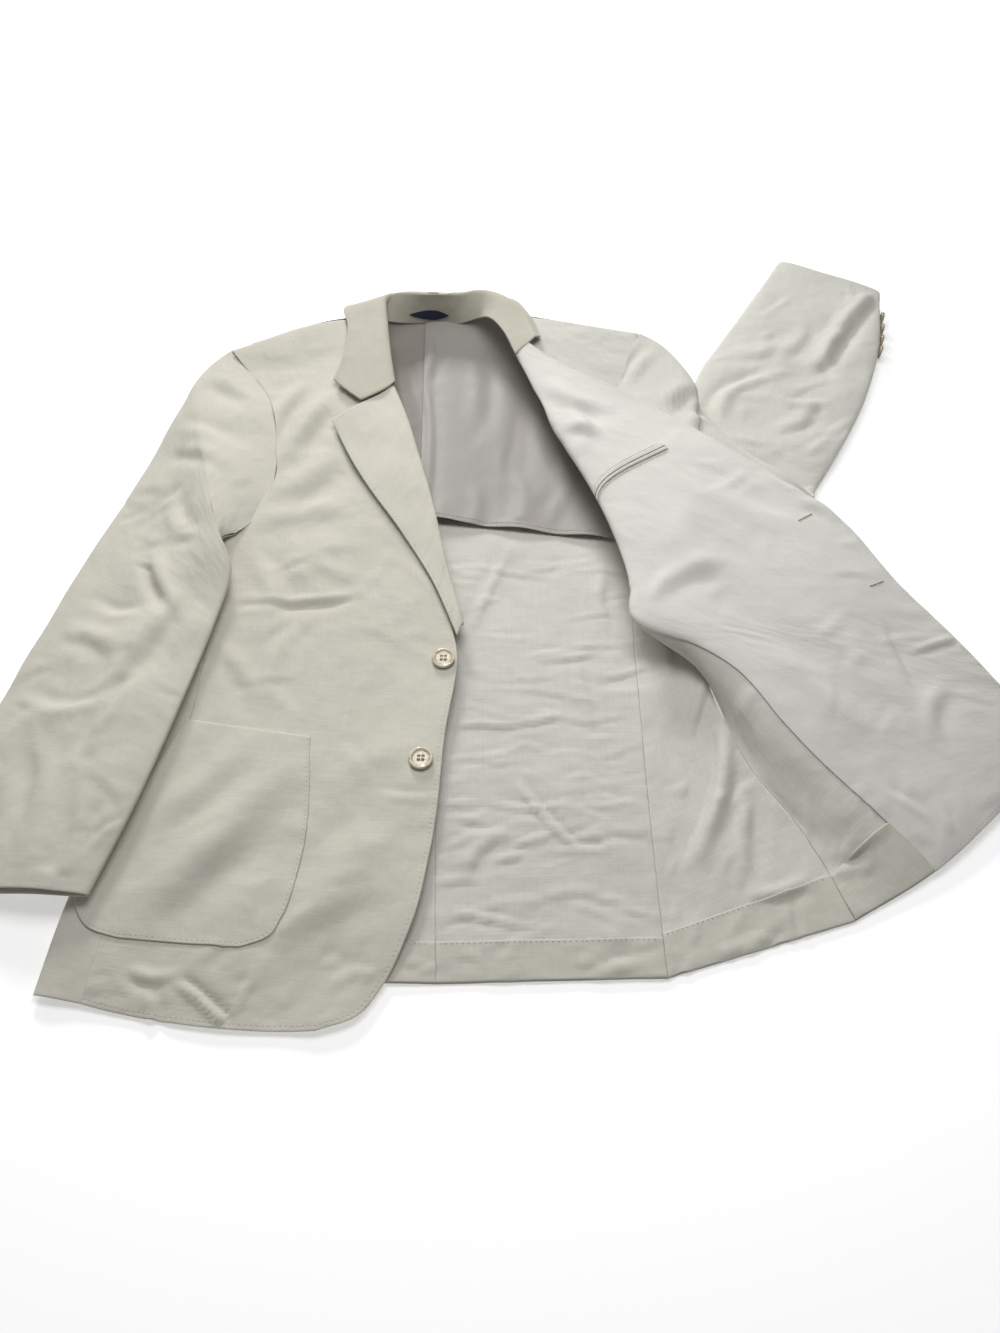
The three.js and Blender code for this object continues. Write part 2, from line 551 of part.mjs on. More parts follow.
// Buttons: a turned disc with a rim and a dished face
function button(name, size, at, normal) {
  const { radius, thick, rim, dish } = size;
  const profile = [
    [0, 0],
    [radius * 0.75, 0],
    [radius, thick * 0.4],
    [radius - 0.3, thick * 0.85],
    [radius - rim * 0.6, thick],
    [radius - rim * 1.5, thick - dish],
    [0, thick - dish],
  ].map(([x, y]) => new THREE.Vector2(x, y));
  const geometry = new THREE.LatheGeometry(profile, radius > 8 ? 20 : 12);
  const turn = new THREE.Quaternion().setFromUnitVectors(new THREE.Vector3(0, 1, 0), normal);
  geometry.applyQuaternion(turn).translate(...at);
  return named(name, geometry, "button");
}
const frontButtons = [
  { name: "button_front_upper", x: -2.5, y: 277 },
  { name: "button_front_lower", x: -18, y: 179 },
];
for (const { name, x, y } of frontButtons)
  button(name, frontButton, [x, y, lie(y) + cloth + 0.9], new THREE.Vector3(0, -0.05, 1).normalize());
const cuffButtons = (name, surface, out, { u, pitch, stand }) => {
  for (let i = 0; i < 4; i++) {
    const v = 0.945 - i * pitch;
    const n = normalOf(surface, u, v).multiplyScalar(out);
    const p = new THREE.Vector3(...surface(u, v)).addScaledVector(n, cloth + stand);
    button(name + (i + 1), cuffButton, p.toArray(), n);
  }
};
cuffButtons("cuff_button_right_", sleeveRight.top, sleeveRight.out, { u: 0.17, pitch: 0.034, stand: 0.6 });
cuffButtons("cuff_button_left_", sleeveLeft.top, sleeveLeft.out, { u: 0.005, pitch: 0.026, stand: 0.05 });

const box = new THREE.Box3().setFromObject(blazer);
const middle = box.getCenter(new THREE.Vector3());
blazer.position.set(-middle.x, -middle.y, -box.min.z);

export default blazer;
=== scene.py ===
import math

import bpy
import numpy as np
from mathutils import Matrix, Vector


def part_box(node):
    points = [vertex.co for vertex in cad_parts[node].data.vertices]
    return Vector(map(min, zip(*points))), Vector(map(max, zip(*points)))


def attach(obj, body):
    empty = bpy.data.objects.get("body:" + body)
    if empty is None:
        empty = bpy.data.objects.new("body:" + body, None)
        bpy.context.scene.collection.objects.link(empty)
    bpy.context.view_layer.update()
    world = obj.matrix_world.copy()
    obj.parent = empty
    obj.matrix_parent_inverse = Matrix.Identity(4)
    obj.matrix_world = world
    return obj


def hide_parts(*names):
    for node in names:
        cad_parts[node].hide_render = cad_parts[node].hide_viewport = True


# A linen blazer on its back, half opened. All shapes are worked out in millimetres in the cutter's layout:
# origin on the table at the centre back hem, +X to the wearer's left, +Y to the collar, +Z up.
# "right" and "left" in names are the wearer's.
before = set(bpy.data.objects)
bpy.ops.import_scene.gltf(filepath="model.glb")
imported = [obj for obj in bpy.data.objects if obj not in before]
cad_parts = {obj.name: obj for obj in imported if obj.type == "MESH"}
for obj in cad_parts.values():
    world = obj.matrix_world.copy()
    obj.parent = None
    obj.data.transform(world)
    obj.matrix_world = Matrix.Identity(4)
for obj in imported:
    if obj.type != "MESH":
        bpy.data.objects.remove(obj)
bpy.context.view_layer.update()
mm = 0.001

buttonLow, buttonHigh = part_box("button_front_upper")
upperButton = {"x": -2.5, "y": 277}
origin = np.array([(buttonLow.x + buttonHigh.x) / 2 - upperButton["x"] * mm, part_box("back_left")[0].y, 0.0])

# What a user would change first: colours are linear
looks = {
    "linen": {"light": (0.660, 0.640, 0.560), "dark": (0.500, 0.480, 0.410), "slub": 0.34, "crumple": 1.0},
    "facing": {"light": (0.700, 0.685, 0.640), "dark": (0.570, 0.555, 0.515), "slub": 0.26, "crumple": 0.8},
    "inside": {"light": (0.660, 0.650, 0.590), "dark": (0.500, 0.490, 0.440), "slub": 0.40, "crumple": 1.1},
    "lining": {"light": (0.360, 0.338, 0.312), "dark": (0.300, 0.280, 0.258), "rough": 0.56},
    # liningShade: the lining satin painted darker and warmer, as shade on the right lining, which turns away
    # from the light
    "liningShade": {"light": (0.300, 0.275, 0.245), "dark": (0.250, 0.228, 0.202), "rough": 0.56},
    # hem: the same linen painted darker and yellower, as shade on the turned-up hems
    "hem": {"light": (0.625, 0.612, 0.540), "dark": (0.465, 0.452, 0.388), "slub": 0.36, "crumple": 1.1},
    # collar: the same linen painted darker, as shade on the collar that falls away from the light
    "collar": {"light": (0.545, 0.523, 0.443), "dark": (0.415, 0.395, 0.325), "slub": 0.34, "crumple": 1.0},
    "label": {"light": (0.016, 0.018, 0.050), "dark": (0.008, 0.009, 0.026)},
    "thread": {"light": (0.560, 0.535, 0.450)},
    # slit: near black, painted shade inside the buttonhole slits and the pocket mouth
    "slit": {"light": (0.060, 0.050, 0.038)},
    "horn": {"light": (0.640, 0.570, 0.420), "dark": (0.300, 0.230, 0.140), "rough": 0.22},
    "cuffHorn": {"light": (0.330, 0.270, 0.190), "dark": (0.100, 0.070, 0.045), "rough": 0.22},
}

cloth = 1.4
satin = 1.0
leafWall = 2.4
layerGap = 0.8
seamGap = 0.1  # seams are sewn shut, so they are closer than the solids'
backLength = 757
lean = -0.0416
hemDepth = 31
cell = 2.7  # size of a mesh cell


# Straight line from a to b at share t
def lerp(a, b, t):
    return a + (b - a) * t


# Soft step from 0 at start to 1 at end: 3 s^2 - 2 s^3
def smooth(t, start, end):
    s = np.clip((t - start) / (end - start), 0, 1)
    return s * s * (3 - 2 * s)


def cubic(a, b, fromA, toB, s):
    # Hermite: two ends and their tangents
    return (
        (2 * s**3 - 3 * s**2 + 1) * a
        + (s**3 - 2 * s**2 + s) * fromA
        + (3 * s**2 - 2 * s**3) * b
        + (s**3 - s**2) * toB
    )


# Smooth curve through one named column of a table; a row marked corner turns sharply
def column(rows, name):
    at = np.array([r["at"] for r in rows], float)
    values = np.array([np.atleast_1d(r[name]) for r in rows], float)
    slopes = np.diff(values, axis=0) / np.diff(at)[:, None]
    after = np.vstack([slopes, slopes[-1:]])
    before = np.vstack([slopes[:1], slopes])
    share = np.ones(len(at))
    share[1:-1] = (at[1:-1] - at[:-2]) / (at[2:] - at[:-2])
    blended = lerp(before, after, share[:, None])
    sharp = np.array([bool(r.get("corner")) for r in rows])[:, None]
    leaving = np.where(sharp, after, blended)
    arriving = np.where(sharp, before, blended)

    def curve(t):
        t = np.asarray(t, float)
        i = np.clip(np.searchsorted(at, t, side="left") - 1, 0, len(at) - 2)
        h = (at[i + 1] - at[i])[..., None]
        s = (t - at[i])[..., None] / h
        return cubic(values[i], values[i + 1], leaving[i] * h, arriving[i + 1] * h, s)

    return curve


def xyz(x, y, z):
    return np.stack(np.broadcast_arrays(x, y, z), axis=-1).astype(float)


def cut(surface, u0, u1, v0, v1):
    return lambda u, v: surface(lerp(u0, u1, u), lerp(v0, v1, v))


# Height of the upper layers by y. Every panel has the form of its solid
lieRows = [
    {"at": -60, "z": 8.6},
    {"at": 60, "z": 9},
    {"at": 150, "z": 11},
    {"at": 280, "z": 15},
    {"at": 400, "z": 25},
    {"at": 500, "z": 34},
    {"at": 600, "z": 40},
    {"at": 760, "z": 43},
]
lieCurve = column(lieRows, "z")


def lie(y):
    return lieCurve(y)[..., 0]


def topOf(x, y):
    return [x, y, float(lie(y)) + cloth]


# Level panel between two side edges
def level(rows, height):
    left = column(rows, "left")
    right = column(rows, "right")

    def surface(u, v):
        plan = lerp(left(v), right(v), u[..., None])
        x, y = plan[..., 0], plan[..., 1]
        return xyz(x, y, height(x, y, u, v))

    return surface


# Panel that turns over a crest: start, crest and end of each section, as in the solids
def turned(rows):
    start, crest, end, up, over = (column(rows, n) for n in ("start", "crest", "end", "up", "over"))
    flat = np.array([1, 1, 0])
    tall = np.array([0, 0, 1])

    def surface(u, v):
        s, c, e, k, o = start(v), crest(v), end(v), up(v), over(v)
        climb = (e - s)[..., 2:]
        upright = (climb * 1.2 + np.sign(climb) * o) * tall
        atCrest = lerp((e - s) * 0.5, upright, k)
        keep = flat + tall * k
        w = u[..., None]
        first = cubic(s, c, (c - s) * keep, atCrest, w * 2)
        second = cubic(c, e, atCrest, (e - c) * keep, w * 2 - 1)
        return np.where(w <= 0.5, first, second)

    return surface


def centre(y):
    return [lean * y, y]


riseRows = [
    {"at": -240, "z": 47},
    {"at": -119, "z": 41},
    {"at": -75, "z": 25},
    {"at": -31, "z": 7},
    {"at": 45, "z": 34},
    {"at": 120, "z": 42},
    {"at": 200, "z": 47},
]
riseCurve = column(riseRows, "z")
curlFrom = 0.94


# Height of the back: level, then a quarter round up to the shoulder seam
def backHeight(x, y, u, v):
    s = np.clip((v - curlFrom) / (1 - curlFrom), 0, 1)
    return (1 - np.sqrt(1 - 0.96 * s**2)) / 0.8 * riseCurve(x)[..., 0]


backRightRows = [
    {"at": 0.0, "left": [-170, 2], "right": centre(0)},
    {"at": 0.25, "left": [-183, 186], "right": centre(190)},
    {"at": 0.5, "left": [-196, 375], "right": centre(385)},
    {"at": 0.54, "left": [-198, 404], "right": centre(415), "corner": True},
    {"at": 0.66, "left": [-200, 480], "right": centre(505)},
    {"at": 0.82, "left": [-204, 570], "right": centre(630)},
    {"at": 1.0, "left": [-236, 651], "right": centre(backLength)},
]
backLeftRows = [
    {"at": 0.0, "left": centre(0), "right": [169, 4]},
    {"at": 0.25, "left": centre(190), "right": [167, 190]},
    {"at": 0.5, "left": centre(385), "right": [170, 375]},
    {"at": 0.54, "left": centre(415), "right": [172, 404], "corner": True},
    {"at": 0.66, "left": centre(505), "right": [170, 490]},
    {"at": 0.82, "left": centre(630), "right": [166, 585]},
    {"at": 1.0, "left": centre(backLength), "right": [196, 676]},
]
inset = seamGap / 2 / 190
backRight = cut(level(backRightRows, backHeight), inset, 1 - inset, 0, 1)
backLeft = cut(level(backLeftRows, backHeight), inset, 1 - inset, 0, 1)
hemShare = hemDepth / backLength


# Half lining: loose above its hem, left piece lapping the right in a pleat
def liningOn(surface, lap):
    def made(u, v):
        x, y, z = np.moveaxis(surface(u, v), -1, 0)
        lift = 5 * np.exp(-v * 9) * (0.6 + 0.4 * np.sin(u * 17))
        return xyz(x, y - 0.5 * smooth(v, 0.8, 1), z + cloth + layerGap + lift + lap(u))

    return made


liningFrom = 0.585
liningTo = 1.0
lapWidth = 14


def lapped(u, v):
    x, y, z = np.moveaxis(backLeft(0.97 * u, lerp(liningFrom - 0.02 * u, liningTo, v)), -1, 0)
    return xyz(x - lapWidth * (1 - u) ** 4 * (1 - 0.5 * v), y, z)


liningRight = liningOn(cut(backRight, 0.1, 0.995, liningFrom, liningTo), lambda u: 0)
liningLeft = liningOn(lapped, lambda u: (satin + 2) * (1 - smooth(u, 0.08, 0.4)))

backSeamRight = column(backRightRows, "left")
backSeamLeft = column(backLeftRows, "right")


def onSeamRight(at):
    x, y = backSeamRight(at * 0.535)
    return [x - seamGap, y, 0]


sideRightRows = [
    {"at": 0.0, "start": onSeamRight(0.0), "crest": [-290, -9, 5], "end": topOf(-254.6, -15), "over": 2},
    {"at": 0.12, "start": onSeamRight(0.12), "crest": [-284, 48, 6], "end": topOf(-247.6, 40), "over": 2},
    {"at": 0.3, "start": onSeamRight(0.3), "crest": [-270, 124, 7], "end": topOf(-230.6, 116), "over": 2},
    {"at": 0.55, "start": onSeamRight(0.55), "crest": [-254, 228, 8], "end": topOf(-213.6, 222), "over": 3},
    {"at": 0.78, "start": onSeamRight(0.78), "crest": [-252, 310, 9], "end": topOf(-211.6, 306), "over": 3},
    {"at": 1.0, "start": onSeamRight(1.0), "crest": [-246, 396, 11], "end": topOf(-205.6, 390), "over": 3},
]
sideRight = turned([{**r, "up": 1} for r in sideRightRows])

frontRightRows = [
    {"at": 0.0, "left": [-254.3, -15], "right": [-84, -34]},
    {"at": 0.025, "left": [-253, 0], "right": [-57, -25]},
    {"at": 0.055, "left": [-250.8, 18], "right": [-40, -5]},
    {"at": 0.11, "left": [-245.5, 50], "right": [-21, 38]},
    {"at": 0.2, "left": [-231, 112], "right": [-8, 100]},
    {"at": 0.36, "left": [-213.4, 222], "right": [1, 205]},
    {"at": 0.48, "left": [-211.4, 304], "right": [9, 285]},
    {"at": 0.54, "left": [-209, 345], "right": [2, 318]},
    {"at": 0.62, "left": [-209, 390], "right": [-13, 372]},
    {"at": 0.645, "left": [-213, 408], "right": [-20, 400]},
    {"at": 0.68, "left": [-198, 432], "right": [-28, 428]},
    {"at": 0.72, "left": [-176, 462], "right": [-37, 455]},
    {"at": 0.8, "left": [-175, 520], "right": [-62, 530]},
    {"at": 0.9, "left": [-190, 585], "right": [-84, 602]},
    {"at": 1.0, "left": [-235.5, 649], "right": [-108, 712]},
]
frontRightPlan = level(frontRightRows, lambda x, y, u, v: 0)


def frontRight(u, v):
    x, y, _ = np.moveaxis(frontRightPlan(u, v), -1, 0)
    hemBow = -24 * u * (1 - u) * np.exp(-v * 14)
    return xyz(x, y + hemBow, lerp(lie(y), riseCurve(x)[..., 0] + 1, smooth(v, 0.95, 1)))


def lapelRow(at, start, crest, end, lift):
    return {
        "at": at,
        "start": [*start, float(lie(start[1])) - layerGap],
        "crest": [*crest, float(lie(crest[1])) + cloth / 2 + 0.5 * lift],
        "end": [*end, float(lie(end[1])) + cloth + layerGap + lift],
        "up": 1,
        "over": 3,
    }


lapelRight = turned(
    [
        lapelRow(0.0, [-90, 594], [-63.6, 597.6], [-121, 546.8], 4),
        lapelRow(0.18, [-78, 556], [-49, 556], [-101, 502], 4),
        lapelRow(0.36, [-62, 510], [-35, 506], [-79, 462], 4),
        lapelRow(0.58, [-42, 455], [-19, 446], [-44, 408], 3),
        lapelRow(0.78, [-28, 400], [-6, 385], [-17, 361], 2),
        lapelRow(1.0, [-12, 330], [12, 315], [8, 300.7], 0.5),
    ]
)

collarRows = [
    {
        "at": 0.0,
        "start": [-94, 606, 39.2],
        "crest": [-63.4, 604.6, 44],
        "end": [-124.3, 603.8, 47],
        "over": 3,
    },
    {"at": 0.14, "start": [-100, 645, 40], "crest": [-70, 645, 45], "end": [-117, 642, 48.5], "over": 3},
    {"at": 0.28, "start": [-108, 690, 38], "crest": [-77, 700, 46], "end": [-117, 690, 49], "over": 3},
    {"at": 0.36, "start": [-100, 723, 36], "crest": [-80, 732, 47], "end": [-123, 722, 46], "over": 3},
    {"at": 0.43, "start": [-78, 728, 25], "crest": [-74, 744, 47], "end": [-104, 752, 26], "over": 3},
    {"at": 0.55, "start": [-31, 749, 7.5], "crest": [-29, 749, 46], "end": [-31, 779, 3], "over": 3},
    {"at": 0.65, "start": [2, 738, 15], "crest": [3, 747, 46], "end": [14, 774, 5], "over": 3},
    {"at": 0.73, "start": [23, 726, 30], "crest": [25, 748, 48], "end": [44, 765, 16], "over": 3},
    {"at": 0.82, "start": [37, 704, 46], "crest": [51, 730, 54], "end": [62, 743, 40], "over": 1},
    {"at": 0.9, "start": [50, 680, 48.5], "crest": [71, 704, 53], "end": [78, 708, 46], "over": 1},
    {"at": 1.0, "start": [63, 643, 48], "crest": [84, 664, 53], "end": [89, 670, 48], "over": 1},
]
collarPlain = turned([{**r, "up": 1} for r in collarRows])


def collar(u, v):
    x, y, z = np.moveaxis(collarPlain(u, v), -1, 0)
    notchDip = 31 * np.where(u < 0.8, np.clip((u - 0.5) / 0.3, 0, 1), (1 - u) / 0.2)
    return xyz(x, y - notchDip * np.clip(1 - v / 0.08, 0, 1), z)


labelAt = {"v": 0.548, "halfLength": 0.062, "middle": 0.13, "halfWidth": 0.06}


def label(u, v):
    side = 2 * v - 1
    half = labelAt["halfWidth"] * np.clip(1 - side**2, 0.01, 1)
    return collar(labelAt["middle"] + (2 * u - 1) * half, labelAt["v"] + side * labelAt["halfLength"])


frontLeftRows = [
    {"at": 0.0, "start": [194, 674, 50], "crest": [44, 721, 41], "end": [52, 712, 50], "up": 1, "over": 2},
    {"at": 0.05, "start": [186, 652, 45], "crest": [54, 684, 44], "end": [75, 660, 52], "up": 1, "over": 3},
    {"at": 0.1, "start": [178, 628, 40], "crest": [66, 642, 45], "end": [112, 624, 53], "up": 1, "over": 4},
    {"at": 0.2, "start": [160, 560, 30], "crest": [92, 560, 46], "end": [196, 560, 54], "up": 1, "over": 6},
    {"at": 0.32, "start": [170, 480, 22], "crest": [124, 476, 46], "end": [286, 478, 53], "up": 1, "over": 8},
    {"at": 0.42, "start": [201, 414, 15], "crest": [148, 408, 45], "end": [355, 414, 50], "up": 1, "over": 8},
    {"at": 0.52, "start": [214, 334, 11], "crest": [162, 342, 43], "end": [402, 340, 40], "up": 1, "over": 8},
    {
        "at": 0.6,
        "start": [221, 284, 10.3],
        "crest": [165, 300, 42],
        "end": [431, 303, 33],
        "up": 0.9,
        "over": 6,
    },
    {
        "at": 0.68,
        "start": [228, 254, 10.3],
        "crest": [214, 277, 41],
        "end": [453, 273, 27],
        "up": 0.6,
        "over": 3,
    },
    {
        "at": 0.75,
        "start": [240, 207, 9],
        "crest": [250, 249, 39],
        "end": [466, 254, 23],
        "up": 0.4,
        "over": 0,
    },
    {
        "at": 0.83,
        "start": [258, 165, 6],
        "crest": [283, 201, 34],
        "end": [478, 236, 19],
        "up": 0.2,
        "over": 0,
    },
    {"at": 0.9, "start": [285, 122, 3], "crest": [313, 165, 27], "end": [485, 212, 16], "up": 0, "over": 0},
    {"at": 0.945, "start": [300, 90, 2], "crest": [345, 132, 19], "end": [484, 190, 14], "up": 0, "over": 0},
    {
        "at": 0.975,
        "start": [308, 66, 1.6],
        "crest": [370, 106, 12],
        "end": [474, 166, 12],
        "up": 0,
        "over": 0,
    },
    {"at": 1.0, "start": [315, 47, 1.5], "crest": [386, 87, 6], "end": [456, 143, 9], "up": 0, "over": 0},
]
frontLeft = turned(frontLeftRows)
frontLeftStart = column(frontLeftRows, "start")


# Side panel of the open half, from the back's seam up to the turned-back front
def sideLeft(u, v):
    low = backSeamLeft(v * 0.53)
    high = frontLeftStart(lerp(1, 0.44, v))
    height = np.maximum(0, high[..., 2] - cloth - 0.2 - 1.5 * smooth(v, 0.1, 0.6))
    x = lerp(low[..., 0] + seamGap, high[..., 0] - 0.3, u)
    y = lerp(low[..., 1], high[..., 1] - 0.3, u)
    return xyz(x, y, height * smooth(u, 0.25, 1))


def lapelLeft(u, v):
    leafShare = 0.3 * (1 - v) + 0.02
    return frontLeft(1 - leafShare * (1 - u), lerp(0.1, 0.44, v))


pocketRows = [
    {"at": 0.0, "left": [-236, 32], "right": [-146, 25]},
    {"at": 0.06, "left": [-257, 38], "right": [-127, 32]},
    {"at": 0.16, "left": [-273, 56], "right": [-117, 46]},
    {"at": 0.4, "left": [-262, 100], "right": [-107.5, 95]},
    {"at": 1.0, "left": [-216, 217], "right": [-111, 201]},
]
pocketRight = level(pocketRows, lambda x, y, u, v: lie(y))

weltFrom = {"u": 0.515, "v": 0.372}
weltTo = {"u": 0.835, "v": 0.29}
weltWidth = 0.011


def welt(u, v):
    return frontLeft(
        lerp(weltFrom["u"], weltTo["u"], u),
        lerp(weltFrom["v"], weltTo["v"], u) + weltWidth * (v - 0.5),
    )


armholeRight = {
    "upper": [
        {"at": 409, "x": -203, "z": 32},
        {"at": 420, "x": -194, "z": 30},
        {"at": 462, "x": -177.4, "z": 31},
        {"at": 520, "x": -176.4, "z": 36},
        {"at": 585, "x": -191.4, "z": 40},
        {"at": 630, "x": -221.5, "z": 43},
        {"at": 650, "x": -239, "z": 46},
    ],
    "under": [
        {"at": 409, "x": -203, "z": 29.4},
        {"at": 424, "x": -200.5, "z": 10},
        {"at": 440, "x": -200, "z": 3},
        {"at": 480, "x": -201.4, "z": 1.7},
        {"at": 570, "x": -205.4, "z": 1.7},
        {"at": 605, "x": -218, "z": 1.8},
        {"at": 625, "x": -226, "z": 3.5},
        {"at": 642, "x": -235.5, "z": 18},
        {"at": 650, "x": -239, "z": 42},
    ],
}
armholeLeft = {
    "upper": [
        {"at": 414, "x": 206, "z": 17},
        {"at": 440, "x": 191, "z": 19},
        {"at": 480, "x": 172.4, "z": 22.5},
        {"at": 560, "x": 161.4, "z": 31},
        {"at": 628, "x": 179.4, "z": 41},
        {"at": 652, "x": 187.4, "z": 46},
        {"at": 671, "x": 197, "z": 50},
    ],
    "under": [
        {"at": 414, "x": 208, "z": 15},
        {"at": 428, "x": 190, "z": 6},
        {"at": 450, "x": 174, "z": 2},
        {"at": 490, "x": 171.4, "z": 1.7},
        {"at": 585, "x": 167.4, "z": 1.7},
        {"at": 625, "x": 178, "z": 2},
        {"at": 650, "x": 187, "z": 6},
        {"at": 664, "x": 193, "z": 22},
        {"at": 671, "x": 197, "z": 46},
    ],
}
sleeveRightRows = [
    {"at": 0.0, "a": [-239, 650, 44], "b": [-203, 409, 31], "high": 7, "low": 20},
    {"at": 0.06, "a": [-262, 634, 38], "b": [-212, 401, 36], "high": 10, "low": 9},
    {"at": 0.16, "a": [-282, 582, 28], "b": [-206, 385, 40], "high": 11, "low": 8},
    {"at": 0.3, "a": [-309, 500, 15], "b": [-195, 359, 38], "high": 9, "low": 6},
    {"at": 0.45, "a": [-340, 405, 9], "b": [-203, 310, 30], "high": 8, "low": 6},
    {"at": 0.62, "a": [-370, 285, 8], "b": [-218, 230, 28], "high": 8, "low": 6},
    {"at": 0.8, "a": [-393, 175, 8], "b": [-238, 140, 25], "high": 8, "low": 6},
    {"at": 1.0, "a": [-407, 72, 8], "b": [-261, 60, 21], "high": 8, "low": 6},
]
sleeveLeftRows = [
    {"at": 0.0, "a": [198, 671, 44], "b": [211, 414, 22], "high": 8, "low": 26},
    {"at": 0.06, "a": [229, 655, 42], "b": [216, 408, 26], "high": 10, "low": 15},
    {"at": 0.12, "a": [247, 612, 36], "b": [220, 406, 27], "high": 10, "low": 9},
    {"at": 0.19, "a": [253, 570, 32], "b": [224, 406, 27], "high": 7, "low": 7},
    {"at": 0.27, "a": [286, 520, 31], "b": [228, 408, 27], "high": 6, "low": 5},
    {"at": 0.34, "a": [326, 484, 30], "b": [232, 411, 27], "high": 5, "low": 5},
    {"at": 0.4, "a": [350, 466, 20], "b": [244, 420, 18], "high": 2.6, "low": 2.6},
    {"at": 0.46, "a": [356, 480, 11], "b": [246, 442, 10], "high": 5, "low": 5},
    {"at": 0.6, "a": [392, 538, 10.5], "b": [240, 560, 10.5], "high": 8, "low": 7},
    {"at": 0.75, "a": [436, 620, 10.3], "b": [262, 650, 10.3], "high": 8, "low": 8},
    {"at": 0.88, "a": [468, 705, 10.3], "b": [320, 750, 10.3], "high": 8, "low": 8},
    {"at": 1.0, "a": [487, 794, 12], "b": [381, 853, 10.3], "high": 8, "low": 7},
]


# Sleeve of two panels round the line from a to b; at the top it runs into the armhole, close nearer the body
def sleeve(rows, armhole, settle, upright, close):
    a, b, high, low = (column(rows, n) for n in ("a", "b", "high", "low"))
    sideGap = 0.2

    def ring(name, y):
        x, z = column(armhole[name], "x")(y)[..., 0], column(armhole[name], "z")(y)[..., 0]
        return xyz(x + close, y + 2.5 * smooth(y, 540, 620), z)

    def off(v):
        if upright:
            return xyz(0 * v, 0 * v, 1)
        before, after = np.maximum(0, v - 0.01), np.minimum(1, v + 0.01)
        way = (a(after) + b(after) - a(before) - b(before)) / 2
        n = np.cross(b(v) - a(v), way)
        return n / np.linalg.norm(n, axis=-1, keepdims=True)

    out = float(np.sign(off(np.zeros(1))[0, 2]))

    def side(upper):
        def surface(u, v):
            s = (1 - np.cos(np.pi * u)) / 2
            line = lerp(a(v), b(v), s[..., None])
            line[..., 2] = lerp(a(v)[..., 2], b(v)[..., 2], settle(s))
            arch = np.clip(np.sin(np.pi * u), 0, 1)
            lift = high(v)[..., 0] * arch**0.8 if upper else low(v)[..., 0] * arch**0.5
            body = line + off(v) * (out * (1 if upper else -1) * (lift + sideGap))[..., None]
            top = ring("upper" if upper else "under", lerp(a(0.0)[1], b(0.0)[1], s))
            return lerp(top, body, smooth(v, 0, 0.12)[..., None])

        return surface

    return {"top": side(True), "under": side(False), "out": out}


sleeveRight = sleeve(sleeveRightRows, armholeRight, lambda s: smooth(s, 0.2, 0.78), True, 2.4)
sleeveLeft = sleeve(sleeveLeftRows, armholeLeft, lambda s: s, False, -2.2)


# Every crease is this many times as deep as its row says
creaseDepth = 1.35


# Height of a set of creases at x, y. Each swells along its path to a ridge of that depth, with a trough
# beside it on the side that dip leans to: ridge exp(-(d/w)^2) less dip * exp(-((d - 1.5 w)/(1.2 w))^2).
def creases(rows):
    strokes = []
    for row in rows:
        points = row["path"]
        knots = [{"at": i, "xy": p} for i, p in enumerate(points)]
        count = 6 * (len(points) - 1) + 1
        strokes.append((column(knots, "xy")(np.linspace(0, len(points) - 1, count)), row))

    def height(x, y):
        total = np.zeros_like(x)
        for path, row in strokes:
            reach = 4 * row["wide"]
            low, high = path.min(axis=0) - reach, path.max(axis=0) + reach
            near = (x > low[0]) & (x < high[0]) & (y > low[1]) & (y < high[1])
            if not near.any():
                continue
            p = np.stack([x[near], y[near]], axis=-1)[:, None, :]
            a, way = path[:-1], np.diff(path, axis=0)
            share = np.clip(((p - a) * way).sum(-1) / (way**2).sum(-1), 0, 1)
            gap = p - (a + share[..., None] * way)
            distance = np.linalg.norm(gap, axis=-1)
            nearest = distance.argmin(axis=1)
            pick = (np.arange(len(nearest)), nearest)
            side = np.sign(way[nearest, 0] * gap[pick][:, 1] - way[nearest, 1] * gap[pick][:, 0])
            d = distance[pick] / row["wide"]
            t = (nearest + share[pick]) / len(way)
            first, last = row.get("fade", (0.4, 0.4))
            taper = smooth(t, -0.001, first + 0.001) * smooth(1 - t, -0.001, last + 0.001)
            dip = row.get("dip", 0.6)
            bump = np.exp(-(d**2)) - abs(dip) * np.exp(-(((side * d * np.sign(dip) - 1.5) / 1.2) ** 2))
            total[near] += creaseDepth * row["deep"] * taper * bump
        return total

    return height


# Small creases strewn over a box, so that no two are alike
def strewn(seed, count, low, high, heading, spread, length, wide, deep):
    chance = np.random.default_rng(seed)
    rows = []
    for _ in range(count):
        middle = chance.uniform(low, high)
        turn = math.radians(heading + chance.normal(0, spread))
        way = np.array([math.cos(turn), math.sin(turn)]) * chance.uniform(*length) / 2
        bend = np.array([-way[1], way[0]]) * chance.uniform(-0.25, 0.25)
        rows.append(
            {
                "path": [middle - way, middle + bend, middle + way],
                "wide": chance.uniform(*wide),
                "deep": chance.uniform(*deep),
                "dip": chance.choice([-0.7, 0.7]),
            }
        )
    return rows


# Gentle unevenness: a few plane waves of about one size
def sway(seed, size, amount):
    chance = np.random.default_rng(seed)
    waves = [(chance.uniform(0, 2 * np.pi, 2), size * chance.uniform(0.7, 1.7)) for _ in range(6)]

    def height(x, y):
        total = 0
        for (turn, phase), long in waves:
            total = total + np.sin((x * math.cos(turn) + y * math.sin(turn)) * 2 * np.pi / long + phase)
        return total * amount / 2.5

    return height


